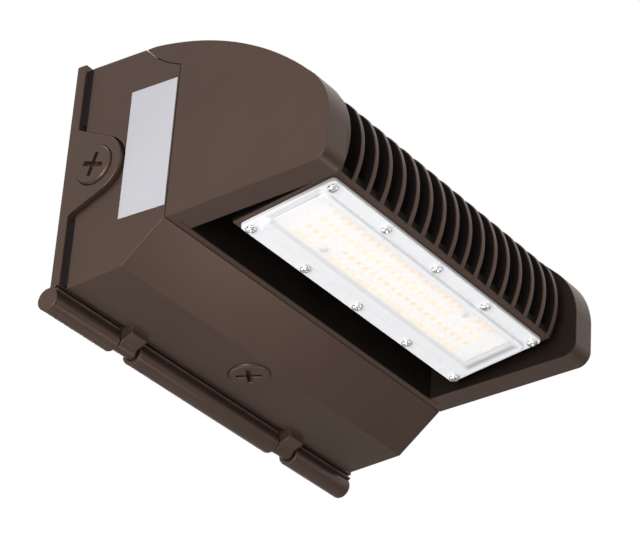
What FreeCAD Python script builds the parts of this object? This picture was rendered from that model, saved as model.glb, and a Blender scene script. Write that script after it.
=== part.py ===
import FreeCAD, Part
import math
import os
import re
import Sketcher

# A wall pack light: a shallow back plate on the wall, a driver box that hangs on the
# plate's hinge rod, and a finned head with a tilted light panel bolted to the box.
#
# Frame: +X to the right seen from the front, +Y into the wall, +Z up. The origin is on the
# wall plane, at half the back plate's height. Pieces are drawn in two steps: "out" is the
# distance out of the plate's rim, away from the wall (out = -y), and "up" is the height
# over the plate's lower edge. Pieces of the light panel are drawn about its own centre,
# with their Y along the panel's depth and their Z into the casting.

SIZES = {
    # back plate
    "plate_width": 247.0,
    "plate_height": 126.8,
    "flange_thickness": 5.5,
    "standoff": 8.0,            # from the wall to the back of the flange
    "pan_inset": 11.0,
    "pan_wall": 3.0,
    "pan_floor": 3.0,
    "wall_gasket_width": 3.0,
    "wall_gasket_depth": 1.5,
    "wall_gasket_inset": 3.0,
    "lag_hole_radius": 2.75,
    "lag_spacing_x": 170.0,
    "lag_spacing_z": 76.0,
    "slot_spacing": 88.9,
    "slot_length": 14.0,
    "slot_half_width": 2.4,
    "wire_entry_radius": 11.0,
    "ground_boss_radius": 4.0,
    "ground_boss_height": 5.0,
    "ground_across": -60.0,
    "ground_rise": 28.0,
    # hinge bead, rod and hooks
    "bead_radius": 6.1,
    "bead_out": -1.0,
    "bead_up": -6.2,
    "lip_reach": 5.2,
    "lip_height": 1.3,
    "lip_drop": 1.2,
    "web_reach": 3.2,
    "rod_radius": 3.6,
    "rod_fit": 0.05,
    "rod_end_wall": 6.0,
    "notch_width": 15.8,
    "notch_spacing": 132.5,
    "lug_spacing": 132.6,
    "lug_width": 12.0,
    "hook_radius": 6.4,
    "hook_clearance": 0.3,
    "arm_reach": 11.4,
    "arm_drop": 4.8,
    "arm_tip_drop": 8.6,
    # conduit ears and plugs
    "ear_radius": 16.5,
    "ear_angle": 25.0,
    "ear_width": 13.0,
    "ear_out": 19.0,
    "ear_up": 63.4,
    "ear_clearance": 0.8,
    "plug_radius": 10.8,
    "plug_clearance": 0.1,
    "plug_length": 11.5,
    "plug_proud": 1.3,
    "plug_chamfer": 0.9,
    "cross_length": 13.0,
    "cross_width": 2.4,
    "cross_depth": 3.5,
    # driver box
    "side_step": 4.3,           # the plate stands out this far beside the box
    "housing_shift": -1.4,      # the hooks sit to the left in the plate's notches
    "box_wall": 3.0,
    "box_floor": -1.55,
    "top_step": 1.8,            # and this far above it
    "floor_slope": 5.6,
    "knee_out": 41.2,
    "slant_angle": 40.0,
    "brow_out": 65.6,
    "seam_fall": 16.2,
    "seam_top_out": 42.3,
    "seam_radius": 54.0,
    "gasket_thickness": 2.7,
    "gasket_width": 3.0,
    "gasket_margin": 0.4,
    "floor_port_out": 29.0,
    "floor_boss_radius": 12.9,
    "floor_boss_height": 9.0,
    # closing screws
    "tab_across": 60.0,
    "tab_width": 16.0,
    "tab_reach": 20.5,
    "tab_thickness": 3.0,
    "tab_gap": 1.7,
    "screw_out": 17.0,
    "screw_radius": 2.5,
    "screw_clearance": 0.2,
    "tab_slot_clearance": 1.9,
    "screw_head_radius": 4.6,
    "screw_head_height": 3.0,
    "screw_boss_radius": 5.5,
    "screw_boss_depth": 2.9,
    "washer_thickness": 1.0,
    "nut_width": 12.0,
    "nut_height": 4.0,
    "nut_gap": 0.5,
    # head casting
    "head_gap": 0.3,
    "rim_width": 15.5,
    "crown_out": 48.8,
    "crown_radius": 170.0,
    "shoulder_out": 145.3,
    "shoulder_up": 79.8,
    "shoulder_radius": 38.0,
    "front_out": 159.4,
    "front_top_up": 51.6,
    "front_low_up": 36.1,
    "chin_out": 152.8,
    "chin_radius": 8.0,
    "brim_slope": 3.6,
    "rim_shell": 3.0,
    "back_wall": 4.0,
    "fin_count": 17.0,
    "fin_thickness": 2.8,
    "fin_nose_radius": 43.0,
    "fin_drop": 0.8,
    "fin_shoulder_out": 148.4,
    "fin_shoulder_up": 74.6,
    "fin_shoulder_radius": 23.0,
    "fin_crown_out": 141.3,
    "recess_up": 43.6,
    "head_bolt_radius": 2.5,
    "head_bolt_across": 88.4,
    "head_bolt_low": 55.0,
    "head_bolt_high": 96.0,
    "head_boss_radius": 5.5,
    "head_boss_length": 8.0,
    "duct_half_width": 9.0,
    "duct_up": 51.0,
    "duct_half_height": 7.0,
    "duct_bore": 4.0,
    "duct_end_out": 112.8,
    # light panel
    "panel_out": 118.0,
    "panel_up": 28.65,
    "panel_tilt": 10.6,
    "slab_width": 191.4,
    "slab_back": 29.8,
    "slab_front": 31.4,
    "slab_thickness": 6.5,
    "lens_length": 186.2,
    "lens_depth": 56.0,
    "lens_flange": 2.5,
    "lens_corner": 2.5,
    "window_length": 179.0,
    "window_depth": 40.0,
    "window_rise": 2.0,
    "window_corner": 5.0,
    "lens_hollow_margin": 2.0,
    "seal_width": 2.0,
    "seal_depth": 1.0,
    "seal_margin": 1.2,
    "recess_margin": 1.2,
    "board_thickness": 1.6,
    "pad_thickness": 0.5,
    "board_clearance": 0.5,
    "lens_screw_radius": 1.5,
    "lens_screw_span": 178.0,
    "lens_screw_edge": 4.0,
    "lens_screw_head_radius": 2.9,
    "lens_screw_head_height": 1.8,
    "lens_screw_length": 7.0,
    "board_screw_radius": 1.2,
    "board_screw_head_radius": 2.3,
    "board_screw_head_height": 1.2,
    "board_screw_length": 4.4,
    "board_screw_across": 47.5,
    "board_screw_offset": 10.0,
    "led_columns": 24.0,
    "led_pitch": 6.0,
    "led_row_pitch": 7.85,
    "led_length": 3.0,
    "led_depth": 2.8,
    "led_height": 0.7,
    "led_keep_out": 7.5,        # from a board screw to the nearest chip
    # inside the box
    "driver_length": 120.0,
    "driver_height": 38.0,
    "driver_depth": 26.0,
    "driver_across": -12.0,
    "driver_up": 90.0,
    "driver_tab": 12.0,
    "driver_tab_thickness": 1.6,
    "post_radius": 4.0,
    "post_length": 6.0,
    "post_bore": 1.6,
    "post_screw_head_radius": 3.4,
    "post_screw_head_height": 2.0,
    "terminal_length": 30.0,
    "terminal_height": 16.0,
    "terminal_depth": 24.0,
    "terminal_across": -40.0,
    "terminal_up": 42.0,
    "wire_radius": 1.1,
    "wire_pitch": 2.7,
    "wire_bend": 7.0,
    "wire_out": 44.0,
    "supply_turn_across": -97.0,
    "output_turn_across": 60.0,
    "grommet_radius": 7.0,
    "grommet_flange": 2.0,
    # label on the box's left side
    "label_back": 36.4,
    "label_front": 65.0,
    "label_low": 29.1,
    "label_high": 101.4,
    "label_thickness": 0.25,
}

# Sizes that follow from the ones above, as formulas.
DERIVED = {
    "plate_left": "-plate_width / 2",
    "plate_right": "plate_width / 2",
    "plate_middle": "plate_height / 2",
    "box_width": "plate_width - 2 * side_step",
    "box_top": "plate_height - top_step",
    "side": "box_width / 2",
    "box_back": "flange_thickness + gasket_thickness",
    "knee_up": "box_floor + (knee_out - box_back) * tan(floor_slope)",
    "brow_up": "knee_up + (brow_out - knee_out) * tan(slant_angle)",
    "port_up": "box_floor + (floor_port_out - box_back) * tan(floor_slope)",
    "hook_bore": "rod_radius + hook_clearance",
    "port_radius": "plug_radius + plug_clearance",
    # the seam's arc: its centre lies out of the box, up and to the front
    "seam_run": "brow_out - seam_top_out",
    "seam_up": "box_top - seam_fall",
    "seam_chord": "sqrt(seam_run ^ 2 + seam_fall ^ 2)",
    "seam_height": "sqrt(seam_radius ^ 2 - seam_chord ^ 2 / 4)",
    "seam_centre_out": "(brow_out + seam_top_out) / 2 + seam_height * seam_fall / seam_chord",
    "seam_centre_up": "(box_top + seam_up) / 2 + seam_height * seam_run / seam_chord",
    # the crown's arc over the head
    "crown_run": "shoulder_out - crown_out",
    "crown_fall": "box_top - shoulder_up",
    "crown_chord": "sqrt(crown_run ^ 2 + crown_fall ^ 2)",
    "crown_height": "sqrt(crown_radius ^ 2 - crown_chord ^ 2 / 4)",
    "crown_centre_out": "(crown_out + shoulder_out) / 2 - crown_height * crown_fall / crown_chord",
    "crown_centre_up": "(box_top + shoulder_up) / 2 - crown_height * crown_run / crown_chord",
    "head_back": "brow_out + head_gap",
    "wall_front": "head_back + back_wall",
    "fin_radius": "crown_radius - fin_drop",
    "fin_back": "wall_front - back_wall / 4",
    "fin_pitch_span": "slab_width - fin_thickness",
    "chin_up": "brow_up + (chin_out - brow_out) * tan(brim_slope)",
    # the panel's seat: the casting's face behind the lens
    "seat": "lens_flange / 2",
    "recess_depth": "board_thickness + pad_thickness + board_clearance",
    "seal_length": "window_length - 2 * seal_margin",
    "seal_breadth": "window_depth - 2 * seal_margin",
    "recess_length": "seal_length - 2 * recess_margin - 2 * seal_width",
    "recess_breadth": "seal_breadth - 2 * recess_margin - 2 * seal_width",
    "board_face": "seat + recess_depth - pad_thickness - board_thickness",
    "post_end": "brow_out - box_wall - post_length",
    "boss_low": "box_top - box_wall - screw_boss_depth",
    "tab_up": "boss_low - washer_thickness - tab_gap - tab_thickness",
    "nut_top": "tab_up - nut_gap",
    "ear_root_rise": "ear_radius / cos(ear_angle) + ear_out * tan(ear_angle)",
}

doc = FreeCAD.newDocument("wall_pack_light")
sheet = doc.addObject("Spreadsheet::Sheet", "Sizes")


def fill_sheet():
    """Put every driving size in the sheet, a plain number beside its name."""
    for row, (name, value) in enumerate(SIZES.items(), start=1):
        sheet.set(f"A{row}", name)
        sheet.set(f"B{row}", str(value))
        sheet.setAlias(f"B{row}", name)
    doc.recompute()


def bind(formula):
    """A formula with each size written as its cell in the sheet."""
    def cell(match):
        word = match.group()
        if word in DERIVED:
            return f"({bind(DERIVED[word])})"
        return f"Sizes.{word}" if word in SIZES else word
    return re.sub(r"[a-z_]+", cell, str(formula))


def size(formula):
    """The value of a formula, in millimetres or degrees."""
    value = sheet.evalExpression(bind(formula))
    return float(getattr(value, "Value", value))


def set_place(piece, out="0", up="0", across="housing_shift", turn=None):
    """Put a piece drawn in plate measures, or about its own centre, in the light's frame."""
    piece.setExpression("Placement.Base.x", bind(across))
    piece.setExpression("Placement.Base.y", bind(f"-(standoff + {out})"))
    piece.setExpression("Placement.Base.z", bind(f"{up} - plate_middle"))
    if turn:
        axis, angle = turn
        piece.Placement.Rotation = FreeCAD.Rotation(axis, size(angle))
        piece.setExpression("Placement.Rotation.Angle", bind(angle))


def set_on_panel(piece):
    """Put a piece drawn about the light panel's centre in the light's frame."""
    set_place(piece, "panel_out", "panel_up", turn=(FreeCAD.Vector(-1, 0, 0), "panel_tilt"))


def new_body(label):
    """A sub-part made of sketches and features."""
    body = doc.addObject("PartDesign::Body", label)
    body.Label = label
    return body


def new_sketch(body, plane, offset="0"):
    """A sketch on one of the body's own planes, moved along its normal."""
    sketch = body.newObject("Sketcher::SketchObject", f"{body.Label}_sketch")
    planes = {feature.Role: feature for feature in body.Origin.OriginFeatures}
    sketch.AttachmentSupport = [(planes[plane], "")]
    sketch.MapMode = "FlatFace"
    sketch.setExpression("AttachmentOffset.Base.z", bind(offset))
    return sketch


def new_slope_sketch(body, out, up, angle):
    """A sketch on a plane that runs along X and rises towards the front by an angle."""
    sketch = new_sketch(body, "XY_Plane", up)
    sketch.setExpression("AttachmentOffset.Base.y", bind(f"-({out})"))
    sketch.AttachmentOffset.Rotation = FreeCAD.Rotation(FreeCAD.Vector(-1, 0, 0), size(angle))
    sketch.setExpression("AttachmentOffset.Rotation.Angle", bind(angle))
    return sketch


def fix_point(sketch, geometry, vertex, x, y):
    """Hold a point of a sketch at a place given by two formulas."""
    for kind, formula in (("DistanceX", x), ("DistanceY", y)):
        value = size(formula)
        index = sketch.addConstraint(Sketcher.Constraint(kind, -1, 1, geometry, vertex, value))
        sketch.setExpression(f"Constraints[{index}]", bind(formula))


def add_circle(sketch, x, y, radius):
    """A circle held by its centre and radius."""
    centre = FreeCAD.Vector(size(x), size(y), 0)
    circle = Part.Circle(centre, FreeCAD.Vector(0, 0, 1), size(radius))
    geometry = sketch.addGeometry(circle, False)
    fix_point(sketch, geometry, 3, x, y)
    index = sketch.addConstraint(Sketcher.Constraint("Radius", geometry, size(radius)))
    sketch.setExpression(f"Constraints[{index}]", bind(radius))


def arc_between(start, end, radius, left):
    """The shorter arc between two points, with its centre on the left or the right."""
    chord = end - start
    normal = FreeCAD.Vector(-chord.y, chord.x, 0).normalize()
    height = math.sqrt(radius ** 2 - chord.Length ** 2 / 4)
    centre = (start + end) / 2 + normal * height * (1 if left else -1)
    first, last = (start, end) if left else (end, start)
    angles = [math.atan2(point.y - centre.y, point.x - centre.x) for point in (first, last)]
    if angles[1] < angles[0]:
        angles[1] += 2 * math.pi
    circle = Part.Circle(centre, FreeCAD.Vector(0, 0, 1), radius)
    return Part.ArcOfCircle(circle, angles[0], angles[1])


def add_outline(sketch, corners, bends=None):
    """A closed outline through corners, with its bends as arcs.

    corners holds pairs of formulas. bends maps a corner's index to (radius, bulges_out)
    for the side that leaves it.
    """
    bends = bends or {}
    points = [FreeCAD.Vector(size(x), size(y), 0) for x, y in corners]
    following = points[1:] + points[:1]
    area = sum(a.x * b.y - b.x * a.y for a, b in zip(points, following))
    sides = []
    for index, (start, end) in enumerate(zip(points, following)):
        if index in bends:
            radius, bulges_out = bends[index]
            left = bulges_out == (area > 0)
            geometry = sketch.addGeometry(arc_between(start, end, size(radius), left), False)
            sides.append((geometry, 1 if left else 2, 2 if left else 1))
            rule = sketch.addConstraint(Sketcher.Constraint("Radius", geometry, size(radius)))
            sketch.setExpression(f"Constraints[{rule}]", bind(radius))
        else:
            geometry = sketch.addGeometry(Part.LineSegment(start, end), False)
            sides.append((geometry, 1, 2))
    for index, (geometry, first, _) in enumerate(sides):
        before, _, last = sides[index - 1]
        sketch.addConstraint(Sketcher.Constraint("Coincident", before, last, geometry, first))
        fix_point(sketch, geometry, first, *corners[index])


def add_side_outline(sketch, corners, bends=None):
    """An outline on the YZ plane from (out, up) corners."""
    add_outline(sketch, [(f"-({out})", up) for out, up in corners], bends)


def add_rectangle(sketch, low_x, high_x, low_y, high_y):
    """An upright rectangle."""
    add_outline(sketch, [(low_x, low_y), (high_x, low_y), (high_x, high_y), (low_x, high_y)])


def add_round_rectangle(sketch, length, depth, radius):
    """A rectangle about the sketch's origin with round corners."""
    half_x = f"({length}) / 2"
    half_y = f"({depth}) / 2"
    short_x = f"({half_x} - ({radius}))"
    short_y = f"({half_y} - ({radius}))"
    corners = [(short_x, f"-{half_y}"), (half_x, f"-{short_y}"), (half_x, short_y),
               (short_x, half_y), (f"-{short_x}", half_y), (f"-{half_x}", short_y),
               (f"-{half_x}", f"-{short_y}"), (f"-{short_x}", f"-{half_y}")]
    add_outline(sketch, corners, {index: (radius, True) for index in (0, 2, 4, 6)})


def feature(body, kind, sketch, length, symmetric=False, backwards=False):
    """A Pad or a Pocket of a sketch."""
    made = body.newObject(f"PartDesign::{kind}", f"{body.Label}_{kind.lower()}")
    made.Profile = sketch
    made.SideType = "Symmetric" if symmetric else "One side"
    made.Reversed = backwards
    made.setExpression("Length", bind(length))
    return made


def pad(body, sketch, length, symmetric=False):
    """Material along the sketch's normal."""
    return feature(body, "Pad", sketch, length, symmetric)


def cut_around(body, sketch, length):
    """A cut that reaches half its length to each side of the sketch."""
    return feature(body, "Pocket", sketch, length, symmetric=True)


def box_piece(label, across, out, up):
    """A plain block from three (low, high) pairs of formulas."""
    piece = doc.addObject("Part::Box", label)
    piece.Label = label
    for prop, (low, high) in zip(("Length", "Width", "Height"), (across, out, up)):
        piece.setExpression(prop, bind(f"({high}) - ({low})"))
    set_place(piece, f"({out[1]})", f"({up[0]})", across[0])
    return piece


def cut_piece(label, base, tool):
    """One piece less another."""
    piece = doc.addObject("Part::Cut", label)
    piece.Label = label
    piece.Base = base
    piece.Tool = tool
    return piece


def solid_piece(label, shape):
    """A sub-part whose solids come from the geometry functions."""
    piece = doc.addObject("Part::Feature", label)
    piece.Label = label
    piece.Shape = shape
    return piece


def frame_piece(label, across, out, up, width):
    """A flat rectangular frame: a block less a smaller block."""
    inner_across = (f"({across[0]}) + {width}", f"({across[1]}) - {width}")
    inner_up = (f"({up[0]}) + {width}", f"({up[1]}) - {width}")
    deep_out = (f"({out[0]}) - 1", f"({out[1]}) + 1")
    outer = box_piece(f"{label}_outer", across, out, up)
    inner = box_piece(f"{label}_inner", inner_across, deep_out, inner_up)
    return cut_piece(label, outer, inner)


# ---------------------------------------------------------------- outlines in use twice

def ear_outline(grow="0", back="0"):
    """The conduit ear seen from the side: a round nose with two straight flanks."""
    radius = f"(ear_radius + {grow})"
    nose_out = f"(ear_out + {radius} * sin(ear_angle))"
    nose_rise = f"({radius} * cos(ear_angle))"
    root_rise = f"({nose_rise} + ({nose_out} - ({back})) * tan(ear_angle))"
    corners = [(back, f"ear_up + {root_rise}"), (nose_out, f"ear_up + {nose_rise}"),
               (f"ear_out + {radius}", "ear_up"), (nose_out, f"ear_up - {nose_rise}"),
               (back, f"ear_up - {root_rise}")]
    return corners, {1: (radius, True), 2: (radius, True)}


def seam_out_at(up, radius):
    """Where the seam's arc, or one beside it, crosses a height."""
    return f"seam_centre_out - sqrt(({radius}) ^ 2 - ({up} - seam_centre_up) ^ 2)"


def seam_up_at(out, radius):
    """Where the seam's arc, or one beside it, crosses a distance out."""
    return f"seam_centre_up - sqrt(({radius}) ^ 2 - ({out} - seam_centre_out) ^ 2)"


def crown_up_at(out, radius):
    """The height of the crown's arc, or one beside it."""
    return f"crown_centre_up + sqrt(({radius}) ^ 2 - ({out} - crown_centre_out) ^ 2)"


def panel_point(depth, rise):
    """A point of the light panel's section as (out, up), from its centre."""
    out = f"panel_out + ({depth}) * cos(panel_tilt) - ({rise}) * sin(panel_tilt)"
    up = f"panel_up + ({depth}) * sin(panel_tilt) + ({rise}) * cos(panel_tilt)"
    return out, up


# ---------------------------------------------------------------- back plate

def make_back_plate():
    """The casting on the wall: flange, pan, hinge bead, conduit ears and tabs."""
    body = new_body("back_plate")
    flange = new_sketch(body, "XZ_Plane")
    add_rectangle(flange, "plate_left", "plate_right", "0", "plate_height")
    pad(body, flange, "flange_thickness")
    pan = new_sketch(body, "XZ_Plane", "-standoff")
    add_rectangle(pan, "plate_left + pan_inset", "plate_right - pan_inset",
                  "pan_inset", "plate_height - pan_inset")
    pad(body, pan, "standoff")
    add_bead(body)
    add_ears(body)
    add_tabs(body)
    cut_pan(body)
    cut_wall_holes(body)
    set_place(body, across="0")


def add_bead(body):
    """The round bead along the lower edge, with its lip, rod bore and hook notches."""
    lip = new_sketch(body, "YZ_Plane")
    corners = [("0", "lip_drop"), ("0", "bead_up"), ("web_reach", "bead_up"),
               ("web_reach", "-(lip_drop + lip_height)"), ("lip_reach", "-(lip_drop + lip_height)"),
               ("lip_reach", "-lip_drop"), ("web_reach", "-lip_drop"), ("web_reach", "lip_drop")]
    add_side_outline(lip, corners)
    pad(body, lip, "plate_width", symmetric=True)
    bead = new_sketch(body, "YZ_Plane")
    add_circle(bead, "-bead_out", "bead_up", "bead_radius")
    pad(body, bead, "plate_width", symmetric=True)
    bore = new_sketch(body, "YZ_Plane", "plate_right")
    add_circle(bore, "-bead_out", "bead_up", "rod_radius + rod_fit")
    cut_around(body, bore, "2 * (plate_width - rod_end_wall)")
    for notch_middle in ("-notch_spacing / 2", "notch_spacing / 2"):
        notch = new_sketch(body, "YZ_Plane", notch_middle)
        reach = "hook_radius + 3"
        top = "bead_up + hook_radius + 2 * hook_clearance"
        add_side_outline(notch, [(f"bead_out - ({reach})", f"bead_up - ({reach})"),
                                 (f"bead_out + {reach}", f"bead_up - ({reach})"),
                                 (f"bead_out + {reach}", top), (f"bead_out - ({reach})", top)])
        cut_around(body, notch, "notch_width")


def add_ears(body):
    """One conduit ear at each end of the plate, bored for a plug."""
    for middle in ("plate_left + ear_width / 2", "plate_right - ear_width / 2"):
        ear = new_sketch(body, "YZ_Plane", middle)
        add_side_outline(ear, *ear_outline())
        pad(body, ear, "ear_width", symmetric=True)
    bore = new_sketch(body, "YZ_Plane")
    add_circle(bore, "-ear_out", "ear_up", "port_radius")
    cut_around(body, bore, "plate_width + 2")


def add_tabs(body):
    """Two tabs with open slots that the closing screws clamp to."""
    for sign in ("-1", "1"):
        middle = f"{sign} * tab_across"
        slot = "(screw_radius + tab_slot_clearance)"
        tab = new_sketch(body, "XY_Plane", "tab_up")
        corners = [(f"{middle} - tab_width / 2", "-flange_thickness / 2"),
                   (f"{middle} - tab_width / 2", "-tab_reach"),
                   (f"{middle} - {slot}", "-tab_reach"), (f"{middle} - {slot}", "-screw_out"),
                   (middle, f"-screw_out + {slot}"),
                   (f"{middle} + {slot}", "-screw_out"), (f"{middle} + {slot}", "-tab_reach"),
                   (f"{middle} + tab_width / 2", "-tab_reach"),
                   (f"{middle} + tab_width / 2", "-flange_thickness / 2")]
        add_outline(tab, corners, {3: (slot, False), 4: (slot, False)})
        pad(body, tab, "tab_thickness")


def cut_pan(body):
    """The pan's hollow, its ground boss and the groove for the wall gasket."""
    hollow = new_sketch(body, "XZ_Plane", "flange_thickness")
    edge = "pan_inset + pan_wall"
    add_rectangle(hollow, f"plate_left + {edge}", f"plate_right - ({edge})",
                  edge, f"plate_height - ({edge})")
    feature(body, "Pocket", hollow, "flange_thickness + standoff - pan_floor")
    boss = new_sketch(body, "XZ_Plane", "-(standoff - pan_floor / 2)")
    add_circle(boss, "ground_across", "ground_rise", "ground_boss_radius")
    pad(body, boss, "pan_floor / 2 + ground_boss_height")
    hole = new_sketch(body, "XZ_Plane", "ground_boss_height - standoff + pan_floor")
    add_circle(hole, "ground_across", "ground_rise", "post_bore")
    cut_around(body, hole, "2 * ground_boss_height")
    groove = new_sketch(body, "XZ_Plane", "-standoff")
    for step in ("0", "wall_gasket_width"):
        inset = f"(pan_inset + wall_gasket_inset + {step})"
        add_rectangle(groove, f"plate_left + {inset}", f"plate_right - {inset}",
                      inset, f"plate_height - {inset}")
    cut_around(body, groove, "2 * wall_gasket_depth")


def cut_wall_holes(body):
    """Holes through the pan's floor: corners, junction box slots and the wire entry."""
    holes = new_sketch(body, "XZ_Plane", "-standoff")
    for across in ("-1", "1"):
        for up in ("-1", "1"):
            add_circle(holes, f"{across} * lag_spacing_x / 2",
                       f"plate_middle + {up} * lag_spacing_z / 2", "lag_hole_radius")
        run = "(slot_length / 2 - slot_half_width)"
        low = f"{across} * slot_spacing / 2 - {run}"
        high = f"{across} * slot_spacing / 2 + {run}"
        corners = [(low, "plate_middle - slot_half_width"), (high, "plate_middle - slot_half_width"),
                   (f"{high} + slot_half_width", "plate_middle"),
                   (high, "plate_middle + slot_half_width"), (low, "plate_middle + slot_half_width"),
                   (f"{low} - slot_half_width", "plate_middle")]
        ends = {index: ("slot_half_width", True) for index in (1, 2, 4, 5)}
        add_outline(holes, corners, ends)
    add_circle(holes, "0", "plate_middle", "wire_entry_radius")
    cut_around(body, holes, "4 * pan_floor")


def make_plate_fittings():
    """The rod, gaskets and ground screw that belong to the back plate."""
    rod = doc.addObject("Part::Cylinder", "hinge_rod")
    rod.Label = "hinge_rod"
    rod.setExpression("Radius", bind("rod_radius"))
    rod.setExpression("Height", bind("plate_width - rod_end_wall - 2 * rod_fit"))
    set_place(rod, "bead_out", "bead_up", "plate_left + rod_end_wall + rod_fit",
              (FreeCAD.Vector(0, 1, 0), "90"))
    inset = "(pan_inset + wall_gasket_inset)"
    frame_piece("wall_gasket", (f"plate_left + {inset}", f"plate_right - {inset}"),
                ("-standoff", "wall_gasket_depth - standoff"),
                (inset, f"plate_height - {inset}"), "wall_gasket_width")
    ring = frame_piece("housing_gasket_ring", ("housing_shift - side", "housing_shift + side"),
                       ("flange_thickness", "box_back"),
                       ("gasket_margin", "box_top - gasket_margin"), "gasket_width")
    half_gap = "(ear_root_rise + ear_clearance)"
    gap = box_piece("housing_gasket_gap", ("plate_left", "plate_right"), ("0", "box_back"),
                    (f"ear_up - {half_gap}", f"ear_up + {half_gap}"))
    cut_piece("housing_gasket", ring, gap)


# ---------------------------------------------------------------- plugs and screws

def make_plug(label, out, up, across, turn):
    """A conduit plug with a chamfered rim and a cross slot, its axis out of the hole."""
    body = new_body(label)
    section = new_sketch(body, "XZ_Plane")
    add_outline(section, [("0", "plug_proud - plug_length"),
                          ("plug_radius - plug_chamfer", "plug_proud - plug_length"),
                          ("plug_radius", "plug_proud - plug_length + plug_chamfer"),
                          ("plug_radius", "plug_proud - plug_chamfer"),
                          ("plug_radius - plug_chamfer", "plug_proud"), ("0", "plug_proud")])
    turned = body.newObject("PartDesign::Revolution", f"{label}_turned")
    turned.Profile = section
    turned.ReferenceAxis = (section, ["V_Axis"])
    turned.Angle = 360
    for length, width in (("cross_length", "cross_width"), ("cross_width", "cross_length")):
        bar = new_sketch(body, "XY_Plane", "plug_proud")
        add_rectangle(bar, f"-{length} / 2", f"{length} / 2", f"-{width} / 2", f"{width} / 2")
        cut_around(body, bar, "2 * cross_depth")
    set_place(body, out, up, across, turn)


def make_plugs():
    """One plug in each ear and one in the box's floor."""
    y_axis = FreeCAD.Vector(0, 1, 0)
    make_plug("side_plug_left", "ear_out", "ear_up", "plate_left", (-y_axis, "90"))
    make_plug("side_plug_right", "ear_out", "ear_up", "plate_right", (y_axis, "90"))
    make_plug("bottom_plug", "floor_port_out", "port_up", "housing_shift",
              (FreeCAD.Vector(1, 0, 0), "180 - floor_slope"))


def pan_head_screw(head_radius, head_height, radius, length, socket=True):
    """A screw along Z with its seat at zero, its domed head above and a cross recess."""
    dome = Part.Arc(FreeCAD.Vector(head_radius, 0, head_height * 0.45),
                    FreeCAD.Vector(head_radius * 0.62, 0, head_height * 0.86),
                    FreeCAD.Vector(0, 0, head_height))
    corners = [FreeCAD.Vector(0, 0, head_height), FreeCAD.Vector(0, 0, -length),
               FreeCAD.Vector(radius, 0, -length), FreeCAD.Vector(radius, 0, 0),
               FreeCAD.Vector(head_radius, 0, 0), FreeCAD.Vector(head_radius, 0, head_height * 0.45)]
    edges = [Part.LineSegment(a, b).toShape() for a, b in zip(corners, corners[1:])]
    face = Part.Face(Part.Wire(edges + [dome.toShape()]))
    screw = face.revolve(FreeCAD.Vector(), FreeCAD.Vector(0, 0, 1), 360)
    if not socket:
        return screw
    reach = head_radius * 0.62
    width = head_radius * 0.26
    depth = head_height * 0.6
    for half_x, half_y in ((reach, width), (width, reach)):
        bar = Part.makeBox(2 * half_x, 2 * half_y, head_height)
        bar.translate(FreeCAD.Vector(-half_x, -half_y, head_height - depth))
        screw = screw.cut(bar)
    return screw


def fixture_point(across, out, up):
    """A point in the light's frame from plate measures."""
    return FreeCAD.Vector(size(across), -size(f"standoff + {out}"), size(f"{up} - plate_middle"))


def housing_point(across, out, up):
    """A point given from the housing's middle, which sits beside the plate's middle."""
    return fixture_point(f"housing_shift + {across}", out, up)


def copies(shape, places, turn=FreeCAD.Rotation()):
    """One compound of a shape at several places."""
    made = []
    for place in places:
        copy = shape.copy()
        copy.Placement = FreeCAD.Placement(place, turn)
        made.append(copy)
    return Part.makeCompound(made)


def make_closing_screws():
    """The captive screws in the box's top, with their retaining washers and nuts."""
    length = size(f"box_top - (nut_top - nut_height) + 1")
    screw = pan_head_screw(size("screw_head_radius"), size("screw_head_height"),
                           size("screw_radius"), length)
    spots = [housing_point(f"{sign} * tab_across", "screw_out", "box_top") for sign in (-1, 1)]
    solid_piece("captive_screws", copies(screw, spots))
    washer = Part.makeCylinder(size("screw_head_radius"), size("washer_thickness"))
    washer = washer.cut(Part.makeCylinder(size("screw_radius"), size("washer_thickness")))
    low = [housing_point(f"{sign} * tab_across", "screw_out", "boss_low - washer_thickness")
           for sign in (-1, 1)]
    solid_piece("captive_washers", copies(washer, low))
    half = size("nut_width") / 2
    nut = Part.makeBox(2 * half, 2 * half, size("nut_height"), FreeCAD.Vector(-half, -half, 0))
    nut = nut.cut(Part.makeCylinder(size("screw_radius"), size("nut_height")))
    spots = [housing_point(f"{sign} * tab_across", "screw_out", "nut_top - nut_height")
             for sign in (-1, 1)]
    solid_piece("captive_nuts", copies(nut, spots))


# ---------------------------------------------------------------- driver box

def box_corners():
    """The box's outer section: floor, slanted front, upright front, seam arc and top."""
    return [("box_back", "box_floor"), ("knee_out", "knee_up"), ("brow_out", "brow_up"),
            ("brow_out", "seam_up"), ("seam_top_out", "box_top"), ("box_back", "box_top")]


def hollow_corners():
    """The box's inner section, one wall inside the outer one and open to the back."""
    middle = "((floor_slope + slant_angle) / 2)"
    half_turn = "((slant_angle - floor_slope) / 2)"
    knee = (f"knee_out - box_wall * sin({middle}) / cos({half_turn})",
            f"knee_up + box_wall * cos({middle}) / cos({half_turn})")
    brow = ("brow_out - box_wall",
            "brow_up + box_wall * (1 - sin(slant_angle)) / cos(slant_angle)")
    arc = "seam_radius + box_wall"
    top = "box_top - box_wall"
    return [("box_back - box_wall", "box_floor + box_wall * (1 / cos(floor_slope) - tan(floor_slope))"),
            knee, brow, ("brow_out - box_wall", seam_up_at("brow_out - box_wall", arc)),
            (seam_out_at(top, arc), top), ("box_back - box_wall", top)]


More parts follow.
